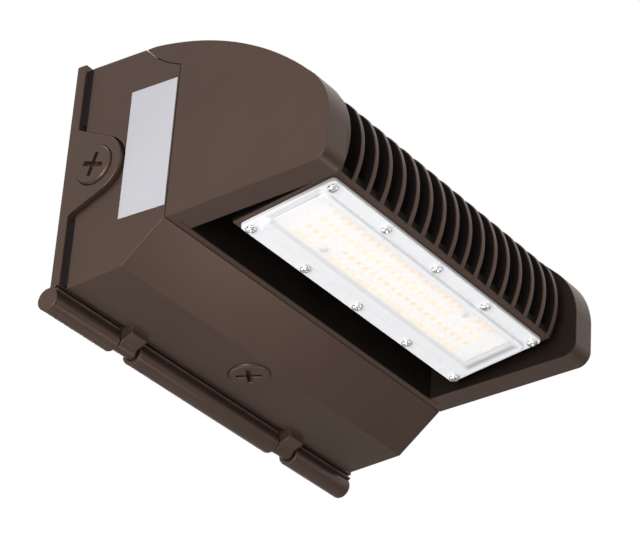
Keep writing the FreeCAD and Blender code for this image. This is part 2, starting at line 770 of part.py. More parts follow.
def make_driver_box():
    """The box that swings on the rod: shell, hooks, ports, bosses and posts."""
    body = new_body("driver_box")
    shell = new_sketch(body, "YZ_Plane")
    add_side_outline(shell, box_corners(), {3: ("seam_radius", False)})
    pad(body, shell, "box_width", symmetric=True)
    hollow = new_sketch(body, "YZ_Plane")
    add_side_outline(hollow, hollow_corners(), {3: ("seam_radius + box_wall", False)})
    cut_around(body, hollow, "box_width - 2 * box_wall")
    ears = new_sketch(body, "YZ_Plane")
    add_side_outline(ears, *ear_outline("ear_clearance", "box_back - 1"))
    cut_around(body, ears, "box_width + 2")
    add_hooks(body)
    add_floor_port(body)
    add_top_bosses(body)
    add_posts(body)
    set_place(body)


def add_hooks(body):
    """Two arms under the floor, hooked over the rod from above."""
    for hook_middle in ("-lug_spacing / 2", "lug_spacing / 2"):
        arm = new_sketch(body, "YZ_Plane", hook_middle)
        floor = "box_floor + box_wall / 2"
        corners = [("arm_reach", f"{floor} + arm_reach * tan(floor_slope) / 2"),
                   ("arm_reach", "-arm_drop"),
                   ("bead_out + hook_bore", "-arm_tip_drop"), ("bead_out", "bead_up"),
                   ("bead_out", "bead_up + hook_radius - hook_clearance"),
                   ("box_back", "bead_up + hook_radius - hook_clearance"), ("box_back", floor)]
        add_side_outline(arm, corners)
        pad(body, arm, "lug_width", symmetric=True)
        ring = new_sketch(body, "YZ_Plane", hook_middle)
        add_circle(ring, "-bead_out", "bead_up", "hook_radius")
        pad(body, ring, "lug_width", symmetric=True)
        bore = new_sketch(body, "YZ_Plane", hook_middle)
        add_circle(bore, "-bead_out", "bead_up", "hook_bore")
        cut_around(body, bore, "lug_width + 2")
        mouth = new_sketch(body, "YZ_Plane", hook_middle)
        add_side_outline(mouth, [("bead_out - hook_radius - 2", "bead_up"),
                                 ("bead_out - hook_radius - 2", "bead_up - hook_radius - 2"),
                                 ("bead_out + hook_bore", "bead_up - hook_radius - 2"),
                                 ("bead_out + hook_bore", "bead_up")])
        cut_around(body, mouth, "lug_width + 2")


def add_floor_port(body):
    """The conduit port in the floor, with a boss inside."""
    boss = new_slope_sketch(body, "floor_port_out", "port_up + box_wall / 2", "floor_slope")
    add_circle(boss, "0", "0", "floor_boss_radius")
    pad(body, boss, "floor_boss_height")
    bore = new_slope_sketch(body, "floor_port_out", "port_up", "floor_slope")
    add_circle(bore, "0", "0", "port_radius")
    cut_around(body, bore, "3 * floor_boss_height")


def add_top_bosses(body):
    """A boss and a clearance hole in the top for each closing screw."""
    bosses = new_sketch(body, "XY_Plane", "boss_low")
    holes = new_sketch(body, "XY_Plane", "box_top")
    for sign in ("-1", "1"):
        add_circle(bosses, f"{sign} * tab_across", "-screw_out", "screw_boss_radius")
        add_circle(holes, f"{sign} * tab_across", "-screw_out", "screw_radius + screw_clearance")
    pad(body, bosses, "screw_boss_depth + box_wall / 2")
    cut_around(body, holes, "4 * (screw_boss_depth + box_wall)")


def post_places():
    """The middles of the driver's two posts, as (across, up)."""
    reach = "(driver_length + driver_tab) / 2"
    return [(f"driver_across - {reach}", "driver_up"), (f"driver_across + {reach}", "driver_up")]


def bolt_places():
    """The middles of the four bolts between box and head, as (across, up)."""
    return [(f"{sign} * head_bolt_across", up) for sign in ("-1", "1")
            for up in ("head_bolt_low", "head_bolt_high")]


def add_posts(body):
    """The driver's posts on the front wall, and the holes for bolts and wires."""
    posts = new_sketch(body, "XZ_Plane", "post_end")
    bores = new_sketch(body, "XZ_Plane", "post_end")
    for across, up in post_places():
        add_circle(posts, across, up, "post_radius")
        add_circle(bores, across, up, "post_bore")
    pad(body, posts, "post_length + box_wall / 2")
    cut_around(body, bores, "2 * post_length")
    holes = new_sketch(body, "XZ_Plane", "brow_out")
    for across, up in bolt_places():
        add_circle(holes, across, up, "head_bolt_radius + screw_clearance")
    add_circle(holes, "0", "duct_up", "grommet_radius")
    cut_around(body, holes, "4 * box_wall")


# ---------------------------------------------------------------- head

def head_corners():
    """The head's side outline, from the lower back corner up, over and down the front."""
    arc = "seam_radius - head_gap"
    return [("head_back", "brow_up"), ("head_back", seam_up_at("head_back", arc)),
            (seam_out_at("box_top", arc), "box_top"), ("crown_out", "box_top"),
            ("shoulder_out", "shoulder_up"), ("front_out", "front_top_up"),
            ("front_out", "front_low_up"), ("chin_out", "chin_up")]


def head_bends():
    """The arcs of the head's outline: seam, crown, shoulder and chin."""
    return {1: ("seam_radius - head_gap", True), 3: ("crown_radius", True),
            4: ("shoulder_radius", True), 6: ("chin_radius", True)}


def make_head():
    """The head casting: two side rims, back wall, panel slab, fins and wire duct."""
    body = new_body("head")
    core = new_sketch(body, "YZ_Plane")
    arc = "seam_radius - head_gap"
    corners = [("head_back", "brow_up"), ("head_back", seam_up_at("head_back", arc)),
               (seam_out_at("box_top", arc), "box_top"), ("crown_out", "box_top"),
               ("wall_front", crown_up_at("wall_front", "crown_radius")), ("wall_front", "brow_up")]
    add_side_outline(core, corners, {1: (arc, True), 3: ("crown_radius", True)})
    pad(body, core, "box_width - rim_width", symmetric=True)
    for middle in ("-(side - rim_width / 2)", "side - rim_width / 2"):
        rim = new_sketch(body, "YZ_Plane", middle)
        add_side_outline(rim, head_corners(), head_bends())
        pad(body, rim, "rim_width", symmetric=True)
    hollow_rims(body)
    add_fins(body)
    add_slab(body)
    add_duct(body)
    add_head_bosses(body)
    cut_panel_seat(body)
    set_place(body)


def hollow_rims(body):
    """A hollow in each side rim, open to the back where it meets the box."""
    for middle in ("-(side - rim_width / 2)", "side - rim_width / 2"):
        hollow = new_sketch(body, "YZ_Plane", middle)
        corners = [("head_back - 1", "brow_up + 2 * rim_shell"), ("head_back - 1", "seam_up - 2 * rim_shell"),
                   ("crown_out + crown_run / 2", "seam_up - 2 * rim_shell"),
                   ("shoulder_out - rim_shell", "shoulder_up - 2 * rim_shell"),
                   ("front_out - rim_shell", "front_top_up"), ("front_out - rim_shell", "front_low_up"),
                   ("chin_out", "chin_up + rim_shell")]
        add_side_outline(hollow, corners)
        cut_around(body, hollow, "rim_width - 2 * rim_shell")


def add_fins(body):
    """Upright fins from the back wall to the slab's front edge."""
    fin = new_sketch(body, "YZ_Plane", "-fin_pitch_span / 2")
    nose = panel_point("slab_front", "seat")
    root_front = panel_point("slab_front - 3", "seat + slab_thickness / 2")
    root_back = panel_point("3 - slab_back", "seat + slab_thickness / 2")
    corners = [nose, ("fin_shoulder_out", "fin_shoulder_up"),
               ("fin_crown_out", crown_up_at("fin_crown_out", "fin_radius")),
               ("fin_back", crown_up_at("fin_back", "fin_radius")), ("fin_back", "recess_up"),
               (root_back[0], "recess_up"), root_back, root_front]
    add_side_outline(fin, corners, {0: ("fin_nose_radius", True), 1: ("fin_shoulder_radius", True),
                                    2: ("fin_radius", True)})
    first = pad(body, fin, "fin_thickness", symmetric=True)
    row = body.newObject("PartDesign::LinearPattern", "head_fins")
    row.Originals = [first]
    row.Direction = (fin, ["N_Axis"])
    row.setExpression("Length", bind("fin_pitch_span"))
    row.setExpression("Occurrences", bind("fin_count"))
    body.Tip = row


def add_slab(body):
    """The tilted slab under the fins that the light panel is screwed to."""
    slab = new_sketch(body, "YZ_Plane")
    add_side_outline(slab, [panel_point("-slab_back", "seat"), panel_point("slab_front", "seat"),
                            panel_point("slab_front", "seat + slab_thickness"),
                            panel_point("-slab_back", "seat + slab_thickness")])
    pad(body, slab, "slab_width", symmetric=True)


def add_duct(body):
    """A closed duct for the panel's wires, from the back wall down to the slab."""
    duct = new_sketch(body, "YZ_Plane")
    root = panel_point("0", "seat + slab_thickness / 2")
    corners = [("fin_back", "duct_up - duct_half_height"), ("fin_back", "duct_up + duct_half_height"),
               ("duct_end_out + duct_half_width", "duct_up + duct_half_height"),
               ("duct_end_out + duct_half_width", root[1]), ("duct_end_out - duct_half_width", root[1]),
               ("duct_end_out - duct_half_width", "duct_up - duct_half_height")]
    add_side_outline(duct, corners)
    pad(body, duct, "2 * duct_half_width", symmetric=True)
    along = new_sketch(body, "XZ_Plane", "(head_back + duct_end_out) / 2")
    add_circle(along, "0", "duct_up", "duct_bore")
    cut_around(body, along, "duct_end_out - head_back + 2")
    down = new_sketch(body, "XY_Plane", "duct_up")
    add_circle(down, "0", "-duct_end_out", "duct_bore")
    feature(body, "Pocket", down, "duct_up - panel_up + duct_bore")


def add_head_bosses(body):
    """Blind bosses in the back wall for the bolts from the box."""
    bosses = new_sketch(body, "XZ_Plane", "fin_back")
    holes = new_sketch(body, "XZ_Plane", "head_back")
    for across, up in bolt_places():
        add_circle(bosses, across, up, "head_boss_radius")
        add_circle(holes, across, up, "head_bolt_radius")
    pad(body, bosses, "head_boss_length")
    cut_around(body, holes, "2 * (back_wall + head_boss_length / 2)")


def panel_screw_places():
    """The middles of the lens screws about the panel's centre, as (across, depth)."""
    rows = ("-(lens_depth / 2 - lens_screw_edge)", "(lens_depth / 2 - lens_screw_edge)")
    return [(f"lens_screw_span * ({step} / 4)", row) for row in rows for step in (-2, -1, 0, 1, 2)]


def board_screw_places():
    """The middles of the board's two screws about the panel's centre."""
    return [("-board_screw_across", "board_screw_offset"), ("board_screw_across", "-board_screw_offset")]


def new_panel_sketch(body, rise):
    """A sketch on a plane parallel to the light panel, for the head casting."""
    out, up = panel_point("0", rise)
    return new_slope_sketch(body, out, up, "panel_tilt")


def cut_panel_seat(body):
    """The board's recess, the lens gasket's groove and the screw holes in the slab."""
    recess = new_panel_sketch(body, "seat")
    add_rectangle(recess, "-recess_length / 2", "recess_length / 2",
                  "-recess_breadth / 2", "recess_breadth / 2")
    cut_around(body, recess, "2 * recess_depth")
    groove = new_panel_sketch(body, "seat")
    add_round_rectangle(groove, "seal_length", "seal_breadth", "window_corner")
    add_round_rectangle(groove, "seal_length - 2 * seal_width", "seal_breadth - 2 * seal_width",
                        "window_corner - seal_width")
    cut_around(body, groove, "2 * seal_depth")
    screws = new_panel_sketch(body, "seat")
    for across, depth in panel_screw_places():
        add_circle(screws, across, depth, "lens_screw_radius")
    cut_around(body, screws, "2 * (lens_screw_length - lens_flange + 0.3)")
    holes = new_panel_sketch(body, "seat")
    for across, depth in board_screw_places():
        add_circle(holes, across, depth, "board_screw_radius")
    cut_around(body, holes, "2 * (recess_depth + board_screw_length - board_thickness)")


# ---------------------------------------------------------------- light panel

def make_lens():
    """The moulded lens: a flat flange, a raised window hollow behind, and screw holes."""
    body = new_body("lens")
    flange = new_sketch(body, "XY_Plane", "-lens_flange / 2")
    add_round_rectangle(flange, "lens_length", "lens_depth", "lens_corner")
    pad(body, flange, "lens_flange")
    window = new_sketch(body, "XY_Plane", "-(lens_flange / 2 + window_rise)")
    add_round_rectangle(window, "window_length", "window_depth", "window_corner")
    pad(body, window, "window_rise + lens_flange / 2")
    hollow = new_sketch(body, "XY_Plane", "lens_flange / 2")
    add_round_rectangle(hollow, "recess_length - lens_hollow_margin",
                        "recess_breadth - lens_hollow_margin", "window_corner / 2")
    feature(body, "Pocket", hollow, "lens_flange")
    holes = new_sketch(body, "XY_Plane")
    for across, depth in panel_screw_places():
        add_circle(holes, across, depth, "lens_screw_radius + screw_clearance")
    cut_around(body, holes, "2 * (lens_flange + window_rise)")
    set_on_panel(body)


def make_panel_layers():
    """Gasket, thermal pad and circuit board between the lens and the slab."""
    seal = new_body("lens_gasket")
    ring = new_sketch(seal, "XY_Plane", "seat")
    add_round_rectangle(ring, "seal_length", "seal_breadth", "window_corner")
    add_round_rectangle(ring, "seal_length - 2 * seal_width", "seal_breadth - 2 * seal_width",
                        "window_corner - seal_width")
    pad(seal, ring, "seal_depth")
    set_on_panel(seal)
    layers = (("led_board", "board_face", "board_thickness"),
              ("thermal_pad", "board_face + board_thickness", "pad_thickness"))
    for label, rise, thickness in layers:
        layer = new_body(label)
        face = new_sketch(layer, "XY_Plane", rise)
        add_rectangle(face, "-(recess_length / 2 - board_clearance)", "recess_length / 2 - board_clearance",
                      "-(recess_breadth / 2 - board_clearance)", "recess_breadth / 2 - board_clearance")
        for across, depth in board_screw_places():
            add_circle(face, across, depth, "board_screw_radius + screw_clearance")
        if label == "thermal_pad":
            add_circle(face, "0", "(panel_out - duct_end_out) / cos(panel_tilt)", "duct_bore")
        pad(layer, face, thickness)
        set_on_panel(layer)


def on_panel(shape):
    """A shape drawn about the panel's centre, placed in the light's frame."""
    turn = FreeCAD.Rotation(FreeCAD.Vector(-1, 0, 0), size("panel_tilt"))
    placed = shape.copy()
    placed.Placement = FreeCAD.Placement(housing_point("0", "panel_out", "panel_up"), turn)
    return placed


def panel_screws(label, screw, places, rise):
    """One node of screws whose heads point out of the panel."""
    over = FreeCAD.Rotation(FreeCAD.Vector(1, 0, 0), 180)
    spots = [FreeCAD.Vector(size(across), size(depth), rise) for across, depth in places]
    solid_piece(label, on_panel(copies(screw, spots, over)))


def make_panel_screws():
    """Ten lens screws and two board screws."""
    lens_screw = pan_head_screw(size("lens_screw_head_radius"), size("lens_screw_head_height"),
                                size("lens_screw_radius"), size("lens_screw_length"))
    panel_screws("lens_screws", lens_screw, panel_screw_places(), size("-lens_flange / 2"))
    board_screw = pan_head_screw(size("board_screw_head_radius"), size("board_screw_head_height"),
                                 size("board_screw_radius"), size("board_screw_length"))
    panel_screws("board_screws", board_screw, board_screw_places(), size("board_face"))


def make_leds():
    """Four rows of chips, warm and cool in turn, with gaps around the board's screws."""
    columns = round(size("led_columns"))
    pitch = size("led_pitch")
    chip = Part.makeBox(size("led_length"), size("led_depth"), size("led_height"),
                        FreeCAD.Vector(-size("led_length") / 2, -size("led_depth") / 2, 0))
    blocked = [FreeCAD.Vector(size(x), size(y), 0) for x, y in board_screw_places()]
    rows = {"leds_cool": (3, -1), "leds_warm": (1, -3)}
    reach = size("led_keep_out")
    for label, halves in rows.items():
        spots = []
        for half in halves:
            for column in range(columns):
                spot = FreeCAD.Vector((column - (columns - 1) / 2) * pitch,
                                      half * size("led_row_pitch") / 2, 0)
                if min(spot.distanceToPoint(point) for point in blocked) > reach:
                    spots.append(FreeCAD.Vector(spot.x, spot.y, size("board_face - led_height")))
        solid_piece(label, on_panel(copies(chip, spots)))


# ---------------------------------------------------------------- inside the box

def make_driver():
    """The driver: a metal case with a tab at each end, on its two posts."""
    body = new_body("driver_case")
    case = new_sketch(body, "XZ_Plane", "post_end - driver_depth")
    add_rectangle(case, "driver_across - driver_length / 2", "driver_across + driver_length / 2",
                  "driver_up - driver_height / 2", "driver_up + driver_height / 2")
    pad(body, case, "driver_depth")
    tabs = new_sketch(body, "XZ_Plane", "post_end - driver_tab_thickness")
    add_rectangle(tabs, "driver_across - driver_length / 2 - driver_tab",
                  "driver_across + driver_length / 2 + driver_tab",
                  "driver_up - driver_tab", "driver_up + driver_tab")
    pad(body, tabs, "driver_tab_thickness")
    holes = new_sketch(body, "XZ_Plane", "post_end")
    for across, up in post_places():
        add_circle(holes, across, up, "post_bore + screw_clearance")
    cut_around(body, holes, "4 * driver_tab_thickness")
    set_place(body)
    screw = pan_head_screw(size("post_screw_head_radius"), size("post_screw_head_height"),
                           size("post_bore"), size("post_length"))
    to_back = FreeCAD.Rotation(FreeCAD.Vector(1, 0, 0), -90)
    spots = [housing_point(across, "post_end - driver_tab_thickness", up)
             for across, up in post_places()]
    solid_piece("driver_screws", copies(screw, spots, to_back))
    bolt = pan_head_screw(size("head_boss_radius"), size("screw_head_height"),
                          size("head_bolt_radius"), size("box_wall + head_boss_length"))
    spots = [housing_point(across, "brow_out - box_wall", up) for across, up in bolt_places()]
    solid_piece("head_bolts", copies(bolt, spots, to_back))
    ground = pan_head_screw(size("post_screw_head_radius"), size("post_screw_head_height"),
                            size("post_bore"), size("ground_boss_height - 0.5"))
    spot = fixture_point("ground_across", "pan_floor + ground_boss_height - standoff", "ground_rise")
    toward_front = FreeCAD.Rotation(FreeCAD.Vector(1, 0, 0), 90)
    solid_piece("ground_screw", copies(ground, [spot], toward_front))


def make_terminal_block():
    """The terminal block on the front wall, with a blind hole for each wire."""
    body = new_body("terminal_block")
    block = new_sketch(body, "XZ_Plane", "brow_out - box_wall - terminal_depth")
    add_rectangle(block, "terminal_across - terminal_length / 2", "terminal_across + terminal_length / 2",
                  "terminal_up - terminal_height / 2", "terminal_up + terminal_height / 2")
    pad(body, block, "terminal_depth")
    entries = new_sketch(body, "YZ_Plane", "terminal_across - terminal_length / 2")
    for step in ("-1", "0", "1"):
        add_circle(entries, f"-(brow_out - box_wall - terminal_depth / 2)",
                   f"terminal_up + {step} * 2 * wire_pitch", "wire_radius + rod_fit")
    cut_around(body, entries, "2 * terminal_height / 2")
    set_place(body)


def wire(label, corners):
    """A wire along straight runs joined by round bends, from points in plate measures."""
    points = [housing_point(*corner) for corner in corners]
    bend = size("wire_bend")
    edges = []
    start = points[0]
    for before, corner, after in zip(points, points[1:], points[2:]):
        arriving = (corner - before).normalize()
        leaving = (after - corner).normalize()
        trim = bend * math.tan(arriving.getAngle(leaving) / 2)
        enter = corner - arriving * trim
        leave = corner + leaving * trim
        centre_way = (leaving - arriving).normalize()
        centre = corner + centre_way * math.hypot(bend, trim)
        edges.append(Part.LineSegment(start, enter).toShape())
        edges.append(Part.Arc(enter, centre - centre_way * bend, leave).toShape())
        start = leave
    edges.append(Part.LineSegment(start, points[-1]).toShape())
    path = Part.Wire(edges)
    circle = Part.Circle(points[0], points[1] - points[0], size("wire_radius")).toShape()
    tube = path.makePipeShell([Part.Wire([circle])], True, False)
    section = math.pi * size("wire_radius") ** 2
    print(label, "bend radius", bend, "volume over section times length",
          round(tube.Volume / (section * path.Length), 3))
    solid_piece(label, tube)


def make_wires():
    """Three supply wires to the terminal block and two output wires to the panel."""
    left_end = "driver_across - driver_length / 2"
    block_end = "terminal_across - terminal_length / 2 + terminal_height / 2"
    entry_out = "brow_out - box_wall - terminal_depth / 2"
    for step, label in ((-1, "ground_wire"), (0, "neutral_wire"), (1, "line_wire")):
        shift = f"{step} * wire_pitch"
        turn = f"supply_turn_across + {shift}"
        high = f"driver_up - {shift}"
        low = f"terminal_up + 2 * ({shift})"
        wire(label, [(left_end, entry_out, high), (turn, entry_out, high),
                     (turn, entry_out, low), (block_end, entry_out, low)])
    right_end = "driver_across + driver_length / 2"
    for half, label in ((-1, "panel_wire_plus"), (1, "panel_wire_minus")):
        shift = f"{half} * wire_pitch / 2"
        turn = f"output_turn_across - {shift}"
        high = f"driver_up - {shift} - driver_height / 4"
        low = f"duct_up + {shift}"
        end = f"duct_end_out + {shift}"
        board = f"panel_up + (board_face + board_thickness) / cos(panel_tilt) - (panel_out - ({end})) * tan(panel_tilt)"
        wire(label, [(right_end, "wire_out", high), (turn, "wire_out", high), (turn, "wire_out", low),
                     ("0", "wire_out", low), ("0", end, low), ("0", end, f"{board} + wire_radius / 4")])


def make_grommet():
    """The rubber bushing in the box's front wall, around the panel's wires."""
    body = new_body("wire_grommet")
    sleeve = new_sketch(body, "XZ_Plane", "brow_out - box_wall")
    add_circle(sleeve, "0", "duct_up", "grommet_radius")
    pad(body, sleeve, "box_wall")
    flange = new_sketch(body, "XZ_Plane", "brow_out - box_wall - grommet_flange")
    add_circle(flange, "0", "duct_up", "grommet_radius + grommet_flange")
    pad(body, flange, "grommet_flange")
    bore = new_sketch(body, "XZ_Plane", "brow_out")
    add_circle(bore, "0", "duct_up", "duct_bore")
    cut_around(body, bore, "4 * (box_wall + grommet_flange)")
    set_place(body)


def make_label():
    """The blank label on the box's left side."""
    left = "housing_shift - side"
    box_piece("label", (f"{left} - label_thickness", left), ("label_back", "label_front"),
              ("label_low", "label_high"))


# ---------------------------------------------------------------- checks and files

NODES = [
    "back_plate", "hinge_rod", "wall_gasket", "housing_gasket", "ground_screw",
    "side_plug_left", "side_plug_right", "bottom_plug", "driver_box", "captive_screws",
    "captive_washers", "captive_nuts", "driver_case", "driver_screws", "terminal_block",
    "ground_wire", "neutral_wire", "line_wire", "panel_wire_plus", "panel_wire_minus",
    "wire_grommet", "label", "head", "head_bolts", "lens", "lens_gasket", "led_board",
    "thermal_pad", "leds_warm", "leds_cool", "lens_screws", "board_screws",
]


def check_features():
    """Stop on any failed object, and on any cut that removed nothing."""
    for item in doc.Objects:
        if {"Invalid", "Error"} & set(item.State):
            raise RuntimeError(f"{item.Name} failed: {item.State}")
        if item.TypeId == "PartDesign::Pocket":
            removed = item.BaseFeature.Shape.Volume - item.Shape.Volume
            if removed < 0.1:
                raise RuntimeError(f"{item.Name} cuts nothing")


def write_nodes():
    """Write each sub-part's solids to its own file."""
    os.makedirs("parts", exist_ok=True)
    for label in NODES:
        piece = doc.getObjectsByLabel(label)[0]
        shape = piece.Shape
        if shape.isNull() or not shape.isValid() or not shape.Solids:
            raise RuntimeError(f"{label} has no valid shape")
        shape.exportStep(f"parts/{label}.step")
        print(label, len(shape.Solids), round(shape.Volume))


def main():
    """Build every sub-part, check it and write it."""
    fill_sheet()
    make_back_plate()
    make_plate_fittings()
    make_plugs()
    make_driver_box()
    make_closing_screws()
    make_head()
    make_lens()
    make_panel_layers()
    make_panel_screws()
    make_leds()
    make_driver()
    make_terminal_block()
    make_wires()
    make_grommet()
    make_label()
    doc.recompute()
    check_features()
    write_nodes()


main()
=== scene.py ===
"""Looks of a bronze wall pack light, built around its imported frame.

The frame puts every casting, fitting, screw and wire in place. This script rounds
the edges of the castings and plugs, turns the plugs, builds the screws and chips
that repeat, gives every surface its finish, and sets up the studio with its lamps
and camera.
"""

import logging
import math
from dataclasses import dataclass
from enum import Enum

import bmesh
import bpy
from mathutils import Euler, Matrix, Vector
from mathutils.geometry import delaunay_2d_cdt


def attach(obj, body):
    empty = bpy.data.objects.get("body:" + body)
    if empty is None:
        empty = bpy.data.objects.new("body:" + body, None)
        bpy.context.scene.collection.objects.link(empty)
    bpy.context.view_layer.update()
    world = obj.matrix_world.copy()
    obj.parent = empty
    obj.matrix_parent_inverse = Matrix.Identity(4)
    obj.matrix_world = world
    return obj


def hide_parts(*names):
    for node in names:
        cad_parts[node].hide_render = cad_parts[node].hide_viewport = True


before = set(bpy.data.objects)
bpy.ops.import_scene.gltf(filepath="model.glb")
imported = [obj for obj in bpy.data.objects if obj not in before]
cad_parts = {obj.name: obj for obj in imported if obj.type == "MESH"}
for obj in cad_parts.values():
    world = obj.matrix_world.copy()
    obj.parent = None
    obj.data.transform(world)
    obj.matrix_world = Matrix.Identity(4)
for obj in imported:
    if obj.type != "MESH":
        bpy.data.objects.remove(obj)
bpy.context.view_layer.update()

LOG = logging.getLogger("wall_pack")
MM = 0.001
MERGE_GAP = 1e-4  # in millimetres: corners nearer than this are one
OVERLAP_LIMIT = 1.002  # a face whose triangles cover more than this share of it is torn
Triple = tuple[float, float, float]
Colour = Triple


class Carrier(str, Enum):
    """The two bodies that pieces ride on."""

    MOUNT = "mount_base"
    HOUSING = "housing"


class Slot(str, Enum):
    """The record's material slots."""

    BRONZE = "bronze_coat"
    ALUMINIUM = "bare_aluminium"
    STEEL = "steel"
    RUBBER = "gasket_rubber"
    MOULDING = "moulding"
    SLEEVE = "wire_sleeve"
    FILM = "label_film"
    LENS = "lens_plastic"
    ENAMEL = "board_enamel"
    WARM = "chip_warm"
    COOL = "chip_cool"


class SocketKind(str, Enum):
    """The kinds of socket that the node groups use."""

    NUMBER = "NodeSocketFloat"
    COUNT = "NodeSocketInt"
    VECTOR = "NodeSocketVector"
    COLOUR = "NodeSocketColor"
    SHAPE = "NodeSocketGeometry"
    FINISH = "NodeSocketMaterial"


# ---------------------------------------------------------------- node trees


@dataclass
class Graph:
    """A node tree, with one short way to add a node and join it.

    Args:
        tree: the node tree that is filled.
    """

    tree: bpy.types.NodeTree

    def add(self, kind: str, sockets: dict | None = None, **settings: object) -> bpy.types.Node:
        """Adds a node, sets its options and fills or joins its inputs.

        Args:
            kind: the node's type name.
            sockets: input name or number to a value, or to the output that feeds it.
            settings: options of the node itself.

        Returns:
            The new node.
        """
        node = self.tree.nodes.new(kind)
        for option, value in settings.items():
            setattr(node, option, value)
        for key, value in (sockets or {}).items():
            if isinstance(value, bpy.types.NodeSocket):
                self.join(value, node.inputs[key])
            else:
                node.inputs[key].default_value = value
        return node

    def join(self, source: bpy.types.NodeSocket, target: bpy.types.NodeSocket) -> None:
        """Leads an output to an input."""
        self.tree.links.new(source, target)

    def math(self, operation: str, *values: object) -> bpy.types.NodeSocket:
        """Adds a Math node.

        Args:
            operation: what the node does.
            values: its inputs in order, numbers or outputs.

        Returns:
            The node's output.
        """
        node = self.add("ShaderNodeMath", dict(enumerate(values)), operation=operation)
        return node.outputs[0]

    def remap(self, value: bpy.types.NodeSocket, low: float, high: float) -> bpy.types.NodeSocket:
        """Turns a mask of 0 to 1 into a range.

        Args:
            value: the mask.
            low: what 0 becomes.
            high: what 1 becomes.

        Returns:
            The node's output.
        """
        node = self.add("ShaderNodeMapRange", {"Value": value, "To Min": low, "To Max": high})
        return node.outputs["Result"]


def open_group(
    name: str, kind: str, inputs: dict[str, tuple[SocketKind, object]], outputs: dict[str, SocketKind]
) -> tuple[Graph, dict[str, bpy.types.NodeSocket], bpy.types.Node]:
    """Starts a node group with named inputs and outputs.

    Args:
        name: the group's name.
        kind: the group's tree type.
        inputs: input name to its kind and default value.
        outputs: output name to its kind.

    Returns:
        The group's graph, its inputs by name, and its output node.
    """
    tree = bpy.data.node_groups.new(name, kind)
    for label, (socket_kind, value) in inputs.items():
        socket = tree.interface.new_socket(label, in_out="INPUT", socket_type=socket_kind.value)
        if value is not None:
            socket.default_value = value
    for label, socket_kind in outputs.items():
        tree.interface.new_socket(label, in_out="OUTPUT", socket_type=socket_kind.value)
    graph = Graph(tree)
    start = graph.add("NodeGroupInput")
    end = graph.add("NodeGroupOutput")
    return graph, {label: start.outputs[label] for label in inputs}, end


